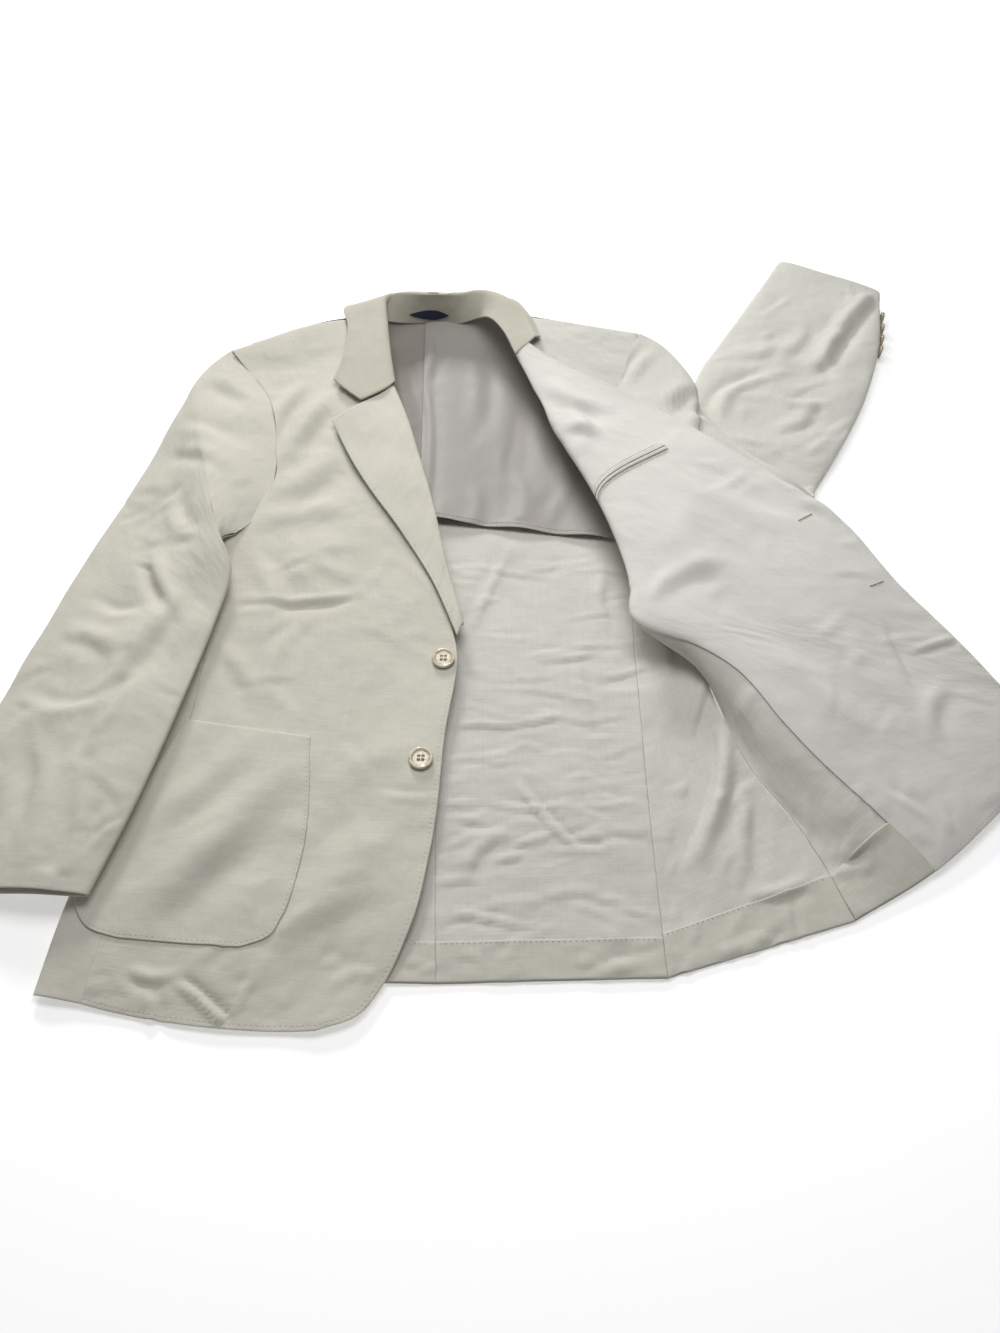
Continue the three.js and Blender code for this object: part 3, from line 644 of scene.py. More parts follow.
frontCreases = creases(
    [
        {"path": [(-228, 44), (-191, 86), (-143, 139)], "wide": 15, "deep": 3.4, "dip": -0.8},
        {"path": [(-120, 21), (-89, 57), (-47, 86)], "wide": 17, "deep": 3.2, "dip": -0.8},
        {"path": [(-126, 600), (-150, 545), (-172, 486)], "wide": 11, "deep": 3.6, "dip": 0.8},
        {"path": [(-150, 618), (-178, 560), (-180, 510)], "wide": 9, "deep": 3.2, "dip": 0.6},
        {"path": [(-112, 520), (-140, 478), (-182, 452)], "wide": 13, "deep": 3.0, "dip": 0.7},
        {"path": [(-196, 418), (-140, 440), (-90, 446)], "wide": 12, "deep": 2.0, "dip": -0.8},
        {"path": [(-204, 341), (-150, 338), (-108, 341), (-70, 350)], "wide": 4.5, "deep": 1.9, "dip": -0.9},
        {"path": [(-190, 398), (-160, 352), (-158, 300)], "wide": 10, "deep": 2.6, "dip": 0.8},
        {"path": [(-140, 330), (-152, 262), (-140, 214)], "wide": 8, "deep": 1.6, "dip": 0.6},
        {"path": [(-205, 300), (-178, 268), (-150, 226)], "wide": 8, "deep": 1.6, "dip": -0.6},
        {"path": [(-112, 196), (-160, 132), (-226, 72)], "wide": 17, "deep": 2.4, "dip": 0.8},
        {"path": [(-150, 208), (-192, 158), (-240, 110)], "wide": 13, "deep": 2.0, "dip": 0.8},
        {"path": [(-100, 140), (-60, 178), (-14, 184)], "wide": 15, "deep": 1.6, "dip": -0.7},
        {"path": [(-104, 60), (-70, 100), (-20, 112)], "wide": 14, "deep": 1.5, "dip": 0.7},
        {"path": [(-108, 8), (-70, 34), (-30, 40)], "wide": 11, "deep": 1.3, "dip": -0.7},
        {
            "path": [(-190, 2), (-172, -10), (-152, -26)],
            "wide": 3,
            "deep": 2.6,
            "dip": 0.9,
            "fade": (0.3, 0.0),
        },
        {"path": [(-232, 10), (-208, 4), (-186, 6)], "wide": 4, "deep": 1.4, "dip": -0.8},
        {
            "path": [(-212, -4), (-204, -16), (-202, -30)],
            "wide": 4,
            "deep": 1.6,
            "dip": 0.8,
            "fade": (0.4, 0.0),
        },
        *strewn(3, 26, (-200, 40), (-20, 420), 5, 40, (30, 80), (4, 8), (0.3, 0.8)),
        *strewn(4, 16, (-240, -20), (-40, 24), 20, 30, (20, 50), (3, 6), (0.3, 0.8)),
    ]
)
frontSway = sway(5, 130, 1.2)
hemSway = sway(6, 70, 1.0)


# The closed front: its creases, and its hem sinking towards the table
def frontRelief(x, y):
    sink = 5.0 * smooth(-y, -75, 28)
    return frontCreases(x, y) + frontSway(x, y) - sink + hemSway(x, y) * smooth(-y, -60, 20)


backCreases = creases(
    [
        {"path": [(13, 303), (34, 360), (62, 430)], "wide": 4.5, "deep": 1.8, "dip": 0.8},
        {"path": [(-4, 214), (26, 220), (60, 219), (117, 233)], "wide": 2.8, "deep": 1.9, "dip": -0.9},
        {"path": [(56, 176), (70, 150), (96, 117), (116, 104)], "wide": 3, "deep": 2.1, "dip": 0.9},
        {"path": [(16, 70), (28, 104), (58, 122)], "wide": 6, "deep": 1.8, "dip": -0.8},
        {"path": [(70, 285), (110, 288), (140, 298)], "wide": 3, "deep": 1.0, "dip": -0.8},
        {"path": [(112, 300), (120, 244), (126, 204)], "wide": 5, "deep": 0.9, "dip": 0.7},
        {"path": [(148, 404), (138, 350), (152, 300)], "wide": 6, "deep": 1.8, "dip": 0.7},
        {"path": [(10, 400), (60, 384), (104, 380)], "wide": 3.5, "deep": 0.8, "dip": -0.7},
        {"path": [(30, 150), (70, 140), (120, 150)], "wide": 3, "deep": 0.9, "dip": 0.8},
        {"path": [(60, 60), (104, 70), (150, 58)], "wide": 4, "deep": 1.1, "dip": -0.8},
        {"path": [(228, 268), (216, 236), (205, 196)], "wide": 5, "deep": 3.2, "dip": 0.8},
        {"path": [(236, 236), (226, 160), (190, 78)], "wide": 8, "deep": 6.5, "dip": -0.9},
        {"path": [(250, 170), (240, 120), (232, 70)], "wide": 7, "deep": 2.2, "dip": 0.7},
        {"path": [(192, 190), (198, 150), (190, 110)], "wide": 5, "deep": 1.4, "dip": 0.7},
        {"path": [(230, 66), (262, 70), (290, 84)], "wide": 5, "deep": 2.4, "dip": -0.8},
        {"path": [(180, 330), (196, 290), (190, 250)], "wide": 6, "deep": 1.6, "dip": 0.7},
        {"path": [(96, 20), (130, 12), (170, 18)], "wide": 5, "deep": 1.2, "dip": 0.7},
        {"path": [(196, 16), (236, 30), (262, 52)], "wide": 5, "deep": 1.4, "dip": -0.7},
        *strewn(11, 85, (-14, 40), (170, 410), 4, 9, (28, 90), (1.9, 3.8), (0.35, 0.95)),
        *strewn(12, 30, (0, 40), (160, 200), 2, 12, (30, 80), (1.8, 3.4), (0.4, 1.0)),
        *strewn(13, 26, (176, 40), (270, 240), 66, 24, (20, 60), (2.4, 4.6), (0.3, 1.0)),
        *strewn(14, 22, (-20, 4), (270, 36), 8, 26, (18, 50), (2.4, 4.6), (0.3, 0.9)),
    ]
)
backSway = sway(15, 110, 0.7)


# The back rests on the table, so its creases only rise: soft floor log(1 + e^(3 h)) / 3
def backRelief(x, y):
    h = 0.9 + backCreases(x, y) + backSway(x, y)
    calm = 1 - smooth(y, 420, 520)
    return np.log1p(np.exp(3 * h)) / 3 * calm


openCreases = creases(
    [
        {"path": [(170, 316), (208, 349), (262, 366)], "wide": 9, "deep": 2.0, "dip": -0.7},
        {
            "path": [(440, 289), (420, 283), (392, 272)],
            "wide": 3,
            "deep": 1.5,
            "dip": 0.9,
            "fade": (0.1, 0.5),
        },
        {"path": [(372, 308), (382, 272), (392, 236)], "wide": 4, "deep": 1.5, "dip": 0.8},
        {"path": [(150, 508), (134, 524), (104, 532)], "wide": 7, "deep": 3.0, "dip": 0.7},
        {"path": [(92, 604), (120, 566), (168, 548)], "wide": 10, "deep": 3.0, "dip": -0.8},
        {"path": [(108, 560), (128, 530), (130, 486)], "wide": 8, "deep": 2.4, "dip": 0.8},
        {"path": [(196, 470), (270, 420), (330, 392)], "wide": 13, "deep": 2.2, "dip": 0.7},
        {"path": [(204, 430), (220, 372), (262, 330)], "wide": 15, "deep": 2.6, "dip": 0.7},
        {"path": [(300, 330), (356, 262), (400, 210)], "wide": 17, "deep": 2.2, "dip": -0.7},
        {"path": [(250, 300), (306, 240), (352, 190)], "wide": 12, "deep": 1.8, "dip": 0.7},
        {"path": [(430, 252), (404, 222), (400, 180)], "wide": 8, "deep": 1.6, "dip": 0.7},
        {"path": [(342, 118), (324, 102), (300, 94)], "wide": 3.5, "deep": 2.6, "dip": 0.9},
        {"path": [(318, 432), (340, 424), (358, 404)], "wide": 6, "deep": 1.6, "dip": -0.7},
        {"path": [(296, 468), (310, 450), (334, 440)], "wide": 5, "deep": 1.4, "dip": 0.7},
        {"path": [(252, 190), (276, 150), (300, 116)], "wide": 7, "deep": 2.0, "dip": 0.7},
        *strewn(21, 34, (150, 200), (430, 520), 30, 40, (26, 70), (3.5, 7), (0.25, 0.7)),
        *strewn(22, 14, (270, 70), (400, 160), 50, 30, (20, 50), (3, 5), (0.3, 0.9)),
    ]
)
openSway = sway(23, 120, 1.3)


def openRelief(x, y):
    return openCreases(x, y) + openSway(x, y)


sleeveRightCreases = creases(
    [
        {"path": [(-218, 343), (-248, 281), (-281, 205)], "wide": 10, "deep": 3.6, "dip": -0.8},
        {"path": [(-262, 610), (-236, 588), (-200, 560)], "wide": 9, "deep": 2.6, "dip": 0.7},
        {"path": [(-282, 560), (-240, 540), (-196, 512)], "wide": 8, "deep": 2.2, "dip": -0.7},
        {"path": [(-292, 520), (-256, 500), (-210, 470)], "wide": 7, "deep": 2.0, "dip": 0.7},
        {"path": [(-250, 478), (-282, 452), (-296, 410)], "wide": 6, "deep": 1.8, "dip": 0.7},
        {"path": [(-262, 470), (-252, 430), (-226, 396)], "wide": 7, "deep": 2.2, "dip": -0.8},
        {"path": [(-284, 398), (-268, 350), (-230, 292)], "wide": 6.5, "deep": 3.4, "dip": 0.9},
        {"path": [(-326, 350), (-296, 330), (-262, 326)], "wide": 6, "deep": 2.0, "dip": -0.8},
        {"path": [(-350, 300), (-316, 290), (-282, 262)], "wide": 8, "deep": 2.4, "dip": 0.8},
        {"path": [(-362, 250), (-320, 232), (-270, 236)], "wide": 7, "deep": 2.2, "dip": -0.8},
        {"path": [(-264, 268), (-278, 226), (-306, 160)], "wide": 6, "deep": 2.8, "dip": 0.9},
        {"path": [(-344, 196), (-330, 150), (-330, 96)], "wide": 9, "deep": 2.2, "dip": 0.8},
        {"path": [(-376, 190), (-362, 140), (-372, 90)], "wide": 8, "deep": 2.0, "dip": -0.8},
        {
            "path": [(-290, 140), (-286, 108), (-292, 74)],
            "wide": 7,
            "deep": 2.0,
            "dip": 0.7,
            "fade": (0.4, 0.1),
        },
        *strewn(31, 44, (-370, 90), (-220, 560), 75, 50, (20, 60), (2.8, 6), (0.4, 1.1)),
    ]
)
sleeveLeftCreases = creases(
    [
        {"path": [(268, 548), (282, 608), (316, 634), (352, 650)], "wide": 7, "deep": 4.2, "dip": 0.9},
        {
            "path": [(478, 790), (440, 742), (396, 672), (376, 646)],
            "wide": 8,
            "deep": 5.0,
            "dip": 0.9,
            "fade": (0.1, 0.5),
        },
        {"path": [(300, 690), (330, 680), (352, 700)], "wide": 7, "deep": 2.2, "dip": -0.7},
        {"path": [(330, 610), (362, 600), (404, 606)], "wide": 6, "deep": 2.0, "dip": 0.8},
        {"path": [(320, 560), (360, 576), (380, 618)], "wide": 7, "deep": 2.2, "dip": -0.8},
        {"path": [(392, 740), (376, 700), (340, 668)], "wide": 7, "deep": 2.2, "dip": 0.8},
        {"path": [(420, 640), (402, 672), (410, 700)], "wide": 6, "deep": 2.0, "dip": 0.8},
        {"path": [(176, 598), (190, 628), (212, 652)], "wide": 7, "deep": 4.0, "dip": 0.9},
        {"path": [(206, 560), (222, 582), (250, 606)], "wide": 7, "deep": 4.2, "dip": -0.9},
        {"path": [(222, 540), (250, 556), (276, 552)], "wide": 6, "deep": 2.4, "dip": 0.8},
        *strewn(41, 40, (250, 520), (460, 800), 40, 45, (20, 60), (2.8, 6), (0.4, 1.1)),
    ]
)
sleeveSway = sway(33, 90, 1.2)

liningCreases = creases(
    [
        {"path": [(-36, 742), (-29, 694), (-34, 636)], "wide": 5, "deep": 3.2, "dip": 0.9},
        {
            "path": [(-33, 656), (-25, 560), (-26, 450)],
            "wide": 4,
            "deep": 2.2,
            "dip": 0.9,
            "fade": (0.3, 0.1),
        },
        {"path": [(14, 716), (22, 640), (18, 560)], "wide": 10, "deep": 2.4, "dip": 0.6},
        {"path": [(46, 700), (52, 600), (40, 500)], "wide": 15, "deep": 2.6, "dip": 0.6},
        {"path": [(84, 640), (86, 560), (96, 470)], "wide": 13, "deep": 2.6, "dip": -0.6},
        {"path": [(120, 560), (112, 500), (120, 450)], "wide": 12, "deep": 2.4, "dip": 0.6},
        {"path": [(62, 520), (70, 480), (66, 444)], "wide": 9, "deep": 2.2, "dip": -0.6, "fade": (0.4, 0.1)},
        {"path": [(20, 500), (24, 470), (20, 440)], "wide": 8, "deep": 1.8, "dip": 0.6, "fade": (0.4, 0.1)},
        {"path": [(-66, 700), (-54, 620), (-44, 520)], "wide": 10, "deep": 2.4, "dip": 0.6},
        {"path": [(-44, 716), (-40, 660), (-34, 600)], "wide": 8, "deep": 2.0, "dip": -0.6},
        *strewn(51, 20, (-60, 450), (140, 680), 80, 20, (30, 90), (5, 10), (0.3, 0.9)),
    ]
)


def liningRelief(x, y):
    return np.maximum(0, 1.2 + 0.75 * liningCreases(x, y))


# Even grid lines from 0 to 1, a close pair at each end, and denser ones in the spans of extra
def lines(count, extra=()):
    edge = 0.3 / count
    parts = [np.linspace(0, 1, count + 1), [edge, 1 - edge]]
    parts += [at + np.linspace(-span, span, 9) for at, span in extra]
    return np.unique(np.concatenate(parts))


def normals(grid):
    n = np.cross(np.gradient(grid, axis=1), np.gradient(grid, axis=0))
    return n / np.maximum(np.linalg.norm(n, axis=-1, keepdims=True), 1e-9)


def toFrame(points):
    return points.reshape(-1, 3) * mm + origin


def meshObject(name, points, faces, uvs=None):
    mesh = bpy.data.meshes.new(name)
    mesh.from_pydata(toFrame(points).tolist(), [], faces.tolist())
    for layer, values in (uvs or {}).items():
        corner = np.empty(len(mesh.loops), np.int32)
        mesh.loops.foreach_get("vertex_index", corner)
        mesh.uv_layers.new(name=layer).uv.foreach_set("vector", (values.reshape(-1, 2) * mm)[corner].ravel())
    mesh.polygons.foreach_set("use_smooth", np.ones(len(mesh.polygons), bool))
    mesh.update()
    made = bpy.data.objects.new(name, mesh)
    bpy.context.scene.collection.objects.link(made)
    return made


def gridFaces(rows, cols, start=0, wrap=False):
    across = cols if wrap else cols - 1
    j, i = np.meshgrid(np.arange(rows - 1), np.arange(across), indexing="ij")
    a = (j * cols + i).ravel() + start
    b = (j * cols + (i + 1) % cols).ravel() + start
    return np.stack([a, b, b + cols, a + cols], axis=1)


# Length along a grid's rows from its middle column, and down that column
def arcLengths(grid):
    middle = grid.shape[1] // 2
    across = np.linalg.norm(np.diff(grid, axis=1), axis=-1)
    s = np.concatenate([np.zeros((len(grid), 1)), np.cumsum(across, axis=1)], axis=1)
    down = np.linalg.norm(np.diff(grid[:, middle], axis=0), axis=-1)
    t = np.concatenate([[0], np.cumsum(down)])
    return np.stack([s - s[:, middle : middle + 1], np.broadcast_to(t[:, None], s.shape)], axis=-1)


# Distance from an edge line, and the length along it, for every point of a grid
def fromEdge(grid, edge):
    best = np.full(grid.shape[:2], 1e9)
    along = np.zeros(grid.shape[:2])
    run = 0.0
    for a, b in zip(edge[:-1], edge[1:]):
        way = b - a
        long = float(np.linalg.norm(way))
        if long < 1e-6:
            continue
        share = np.clip((grid - a) @ way / long**2, 0, 1)
        gap = np.linalg.norm(grid - a - share[..., None] * way, axis=-1)
        closer = gap < best
        best = np.where(closer, gap, best)
        along = np.where(closer, run + share * long, along)
        run += long
    return np.stack([best, along], axis=-1)


edgeOf = {
    "right": lambda g: g[:, -1],
    "first": lambda g: g[0],
    "lastBack": lambda g: g[-1, ::-1],
    "leftBack": lambda g: g[::-1, 0],
}


# Thin closed shell on a surface, from offset low to high along its normal, with rounded rims. relief lifts it
# on the side that "up" says. stitched names the edges that carry a row of hand stitches.
def shell(name, surface, us, vs, low, high, relief=None, up=1, stitched=()):
    u, v = np.meshgrid(us, vs)
    grid = surface(u, v)
    if relief is not None:
        grid = grid + normals(grid) * (up * relief(u, v, grid))[..., None]
    n = normals(grid)
    rims = []
    for count in (len(vs), len(us)):
        rim = np.ones(count)
        rim[[0, -1]] = 0.6
        rim[[1, -2]] = 0.95
        rims.append(rim)
    half = (high - low) / 2 * np.minimum.outer(*rims)[..., None]
    points = np.stack([grid + n * ((high + low) / 2 - half), grid + n * ((high + low) / 2 + half)])
    rows, cols = grid.shape[:2]
    total = rows * cols
    index = np.arange(total).reshape(rows, cols)
    rim = np.concatenate([index[0, :-1], index[:-1, -1], index[-1, :0:-1], index[:0:-1, 0]])
    after = np.roll(rim, -1)
    faces = np.concatenate(
        [
            gridFaces(rows, cols, total),
            gridFaces(rows, cols)[:, ::-1],
            np.stack([rim, after, after + total, rim + total], axis=1),
        ]
    )
    lengths = arcLengths(grid)
    uvs = {"cloth": np.stack([lengths, lengths])}
    if stitched:
        edge = np.concatenate([edgeOf[e](grid) for e in stitched])
        found = fromEdge(grid, edge)
        uvs["edge"] = np.stack([found, found])
    return meshObject(name, points, faces, uvs)


def inPlan(field):
    return lambda u, v, p: field(p[..., 0], p[..., 1])


# A shader node with its settings and its inputs, which are values or other nodes' outputs
def node(tree, kind, values=None, **settings):
    made = tree.nodes.new(kind)
    for key, value in settings.items():
        setattr(made, key, value)
    for socket, value in (values or {}).items():
        if isinstance(value, bpy.types.NodeSocket):
            tree.links.new(value, made.inputs[socket])
        else:
            made.inputs[socket].default_value = value
    return made


def calc(tree, operation, a, b=0.0, c=0.0):
    return node(tree, "ShaderNodeMath", {0: a, 1: b, 2: c}, operation=operation).outputs[0]


def scaled(tree, vector, scale):
    return node(tree, "ShaderNodeVectorMath", {0: vector, 1: scale}, operation="MULTIPLY").outputs[0]


def group(name, inputs, outputs):
    tree = bpy.data.node_groups.new(name, "ShaderNodeTree")
    for socketName, kind, value in inputs:
        socket = tree.interface.new_socket(socketName, in_out="INPUT", socket_type=kind)
        if value is not None:
            socket.default_value = value
    for socketName, kind in outputs:
        tree.interface.new_socket(socketName, in_out="OUTPUT", socket_type=kind)
    return tree, node(tree, "NodeGroupInput").outputs, node(tree, "NodeGroupOutput")


# Linen: thick and thin threads both ways, a plain weave and crumples. Heights are in metres.
def makeWeave():
    tree, given, out = group(
        "linenWeave",
        [
            ("Cloth", "NodeSocketVector", None),
            ("Slub", "NodeSocketFloat", 0.15),
            ("Crumple", "NodeSocketFloat", 0.5),
            ("Thread", "NodeSocketFloat", 0.0011),
        ],
        [("Tint", "NodeSocketFloat"), ("Height", "NodeSocketFloat")],
    )
    place = given["Cloth"]
    threads = []
    for scale in ((520, 24, 1), (24, 520, 1)):
        stretched = scaled(tree, place, scale)
        noise = node(tree, "ShaderNodeTexNoise", {"Vector": stretched, "Scale": 1.0, "Detail": 2.0})
        threads.append(calc(tree, "SUBTRACT", noise.outputs["Fac"], 0.5))
    slubs = calc(tree, "MULTIPLY", calc(tree, "ADD", *threads), given["Slub"])
    blotch = node(tree, "ShaderNodeTexNoise", {"Vector": place, "Scale": 14.0, "Detail": 3.0})
    mottle = calc(tree, "MULTIPLY", calc(tree, "SUBTRACT", blotch.outputs["Fac"], 0.5), 0.5)
    tint = calc(tree, "ADD", calc(tree, "ADD", slubs, mottle), 0.5)
    turns = node(tree, "ShaderNodeVectorMath", {0: place, "Scale": 2 * math.pi}, operation="SCALE")
    apart = node(tree, "ShaderNodeSeparateXYZ", {0: turns.outputs[0]}).outputs
    warp = calc(tree, "SINE", calc(tree, "DIVIDE", apart[0], given["Thread"]))
    weft = calc(tree, "SINE", calc(tree, "DIVIDE", apart[1], given["Thread"]))
    weave = calc(tree, "MULTIPLY", calc(tree, "MULTIPLY", warp, weft), 0.00004)
    soft = node(
        tree,
        "ShaderNodeTexNoise",
        {"Vector": place, "Scale": 22.0, "Detail": 3.0, "Roughness": 0.45},
    )
    bent = node(
        tree,
        "ShaderNodeVectorMath",
        {0: soft.outputs["Color"], 1: (0.02, 0.02, 0.0), 2: place},
        operation="MULTIPLY_ADD",
    )
    ridged = node(
        tree,
        "ShaderNodeTexNoise",
        {"Vector": bent.outputs[0], "Scale": 34.0, "Detail": 2.0, "Roughness": 0.4},
        noise_type="RIDGED_MULTIFRACTAL",
    )
    sharpFolds = calc(tree, "MULTIPLY", ridged.outputs["Fac"], 0.0014)
    softFolds = calc(tree, "MULTIPLY", soft.outputs["Fac"], 0.0036)
    crumple = calc(tree, "MULTIPLY", calc(tree, "ADD", sharpFolds, softFolds), given["Crumple"])
    slubHeight = calc(tree, "MULTIPLY", slubs, 0.0004)
    tree.links.new(tint, out.inputs["Tint"])
    tree.links.new(calc(tree, "ADD", calc(tree, "ADD", weave, slubHeight), crumple), out.inputs["Height"])
    return tree


# Row of small hand stitches at one distance from an edge: 1 on a stitch
def makePick():
    tree, given, out = group(
        "pickStitch",
        [
            ("Edge", "NodeSocketVector", None),
            ("Inset", "NodeSocketFloat", 0.006),
            ("Pitch", "NodeSocketFloat", 0.0042),
        ],
        [("Stitch", "NodeSocketFloat")],
    )
    apart = node(tree, "ShaderNodeSeparateXYZ", {0: given["Edge"]}).outputs
    across = calc(tree, "DIVIDE", calc(tree, "SUBTRACT", apart[0], given["Inset"]), 0.0006)
    line = calc(tree, "EXPONENT", calc(tree, "MULTIPLY", calc(tree, "MULTIPLY", across, across), -1.0))
    phase = calc(tree, "DIVIDE", calc(tree, "MULTIPLY", apart[1], 2 * math.pi), given["Pitch"])
    beat = calc(tree, "POWER", calc(tree, "MULTIPLY_ADD", calc(tree, "SINE", phase), 0.5, 0.5), 3.0)
    tree.links.new(calc(tree, "MULTIPLY", line, beat), out.inputs["Stitch"])
    return tree


weaveGroup = makeWeave()
pickGroup = makePick()


def newMaterial(name):
    made = bpy.data.materials.new(name)
    made.use_nodes = True
    tree = made.node_tree
    return made, tree, tree.nodes["Principled BSDF"]


def use(tree, nodeTree, values):
    made = tree.nodes.new("ShaderNodeGroup")
    made.node_tree = nodeTree
    for socket, value in values.items():
        if isinstance(value, bpy.types.NodeSocket):
            tree.links.new(value, made.inputs[socket])
        else:
            made.inputs[socket].default_value = value
    return made.outputs


# Woven cloth; pick is the inset of a stitched edge in metres, or None
def linenMaterial(name, look, pick=None):
    made, tree, shader = newMaterial(name)
    uv = node(tree, "ShaderNodeUVMap", uv_map="cloth").outputs[0]
    woven = use(tree, weaveGroup, {"Cloth": uv, "Slub": look["slub"], "Crumple": look["crumple"]})
    colour = node(
        tree,
        "ShaderNodeMix",
        {"Factor": woven["Tint"], 6: (*look["dark"], 1), 7: (*look["light"], 1)},
        data_type="RGBA",
    ).outputs[2]
    height = woven["Height"]
    if pick:
        edge = node(tree, "ShaderNodeUVMap", uv_map="edge").outputs[0]
        stitch = use(tree, pickGroup, {"Edge": edge, "Inset": pick})["Stitch"]
        colour = node(
            tree,
            "ShaderNodeMix",
            {"Factor": calc(tree, "MULTIPLY", stitch, 0.14), 6: colour, 7: (0.22, 0.2, 0.16, 1)},
            data_type="RGBA",
        ).outputs[2]
        height = calc(tree, "SUBTRACT", height, calc(tree, "MULTIPLY", stitch, 0.0003))
    tree.links.new(colour, shader.inputs["Base Color"])
    shader.inputs["Roughness"].default_value = 0.86
    shader.inputs["Specular IOR Level"].default_value = 0.25
    shader.inputs["Sheen Weight"].default_value = 0.12
    shader.inputs["Sheen Roughness"].default_value = 0.45
    bump = node(tree, "ShaderNodeBump", {"Height": height, "Distance": 1.0, "Strength": 1.0})
    tree.links.new(bump.outputs[0], shader.inputs["Normal"])
    return made


# Satin: fine twill bump, soft gloss
def satinMaterial(name, look):
    made, tree, shader = newMaterial(name)
    uv = node(tree, "ShaderNodeUVMap", uv_map="cloth").outputs[0]
    stretched = scaled(tree, uv, (2400, 60, 1))
    thread = node(tree, "ShaderNodeTexNoise", {"Vector": stretched, "Scale": 1.0, "Detail": 1.0})
    soft = node(tree, "ShaderNodeTexNoise", {"Vector": uv, "Scale": 22.0, "Detail": 3.0})
    colour = node(
        tree,
        "ShaderNodeMix",
        {"Factor": thread.outputs["Fac"], 6: (*look["dark"], 1), 7: (*look["light"], 1)},
        data_type="RGBA",
    ).outputs[2]
    tree.links.new(colour, shader.inputs["Base Color"])
    shader.inputs["Roughness"].default_value = look["rough"]
    shader.inputs["Specular IOR Level"].default_value = 0.3
    shader.inputs["Sheen Weight"].default_value = 0.15
    height = calc(
        tree,
        "ADD",
        calc(tree, "MULTIPLY", thread.outputs["Fac"], 0.00003),
        calc(tree, "MULTIPLY", soft.outputs["Fac"], 0.0016),
    )
    bump = node(tree, "ShaderNodeBump", {"Height": height, "Distance": 1.0})
    tree.links.new(bump.outputs[0], shader.inputs["Normal"])
    return made


# Horn: cream with long brown streaks, on object coordinates
def hornMaterial(name, look, turn):
    made, tree, shader = newMaterial(name)
    place = node(tree, "ShaderNodeTexCoord").outputs["Object"]
    spun = node(
        tree,
        "ShaderNodeMapping",
        {"Vector": place, "Rotation": (0.0, 0.0, turn), "Scale": (60, 260, 90)},
    )
    streak = node(
        tree,
        "ShaderNodeTexNoise",
        {"Vector": spun.outputs[0], "Scale": 1.0, "Detail": 4.0, "Distortion": 0.6},
    )
    share = calc(tree, "MULTIPLY", calc(tree, "SUBTRACT", streak.outputs["Fac"], 0.42), 2.2)
    colour = node(
        tree,
        "ShaderNodeMix",
        {"Factor": share, 6: (*look["light"], 1), 7: (*look["dark"], 1)},
        data_type="RGBA",
    ).outputs[2]
    tree.links.new(colour, shader.inputs["Base Color"])
    shader.inputs["Roughness"].default_value = look["rough"]
    shader.inputs["Coat Weight"].default_value = 0.3
    return made


# Plain thread or woven tape with a fine rib; near black, it also gives the painted shade in slits
def threadMaterial(name, colour, rough=0.8):
    made, tree, shader = newMaterial(name)
    place = node(tree, "ShaderNodeTexCoord").outputs["Object"]
    noise = node(tree, "ShaderNodeTexNoise", {"Vector": place, "Scale": 900.0, "Detail": 2.0})
    dark = [c * 0.8 for c in colour]
    light = [min(1, c * 1.2) for c in colour]
    tone = node(
        tree,
        "ShaderNodeMix",
        {"Factor": noise.outputs["Fac"], 6: (*dark, 1), 7: (*light, 1)},
        data_type="RGBA",
    ).outputs[2]
    tree.links.new(tone, shader.inputs["Base Color"])
    shader.inputs["Roughness"].default_value = rough
    bump = node(tree, "ShaderNodeBump", {"Height": noise.outputs["Fac"], "Distance": 0.0001})
    tree.links.new(bump.outputs[0], shader.inputs["Normal"])
    return made


linen = linenMaterial("linen", looks["linen"])
linenPicked = linenMaterial("linenPicked", looks["linen"], pick=0.003)
linenInside = linenMaterial("linenInside", looks["inside"])
# Hems: linen with painted shade, darker and yellower than the cloth around them
linenHem = linenMaterial("linenHem", looks["hem"])
# The collar's linen carries painted shade: a darker copy of the cloth
linenCollar = linenMaterial("linenCollar", looks["collar"], pick=0.003)
linenFacing = linenMaterial("linenFacing", looks["facing"], pick=0.003)
linenPocket = linenMaterial("linenPocket", looks["linen"], pick=0.0022)
liningSatin = satinMaterial("liningSatin", looks["lining"])
# The right lining's satin is a darker, warmer copy of the lining: painted shade
liningShade = satinMaterial("liningShade", looks["liningShade"])
labelWeave = threadMaterial("labelWeave", looks["label"]["light"], 0.6)
threadLinen = threadMaterial("threadLinen", looks["thread"]["light"])
slitShade = threadMaterial("slitShade", looks["slit"]["light"], 0.95)


def finishPiece(piece, material, nodes=()):
    piece.data.materials.append(material)
    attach(piece, "root")
    if nodes:
        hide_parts(*nodes)
    return piece


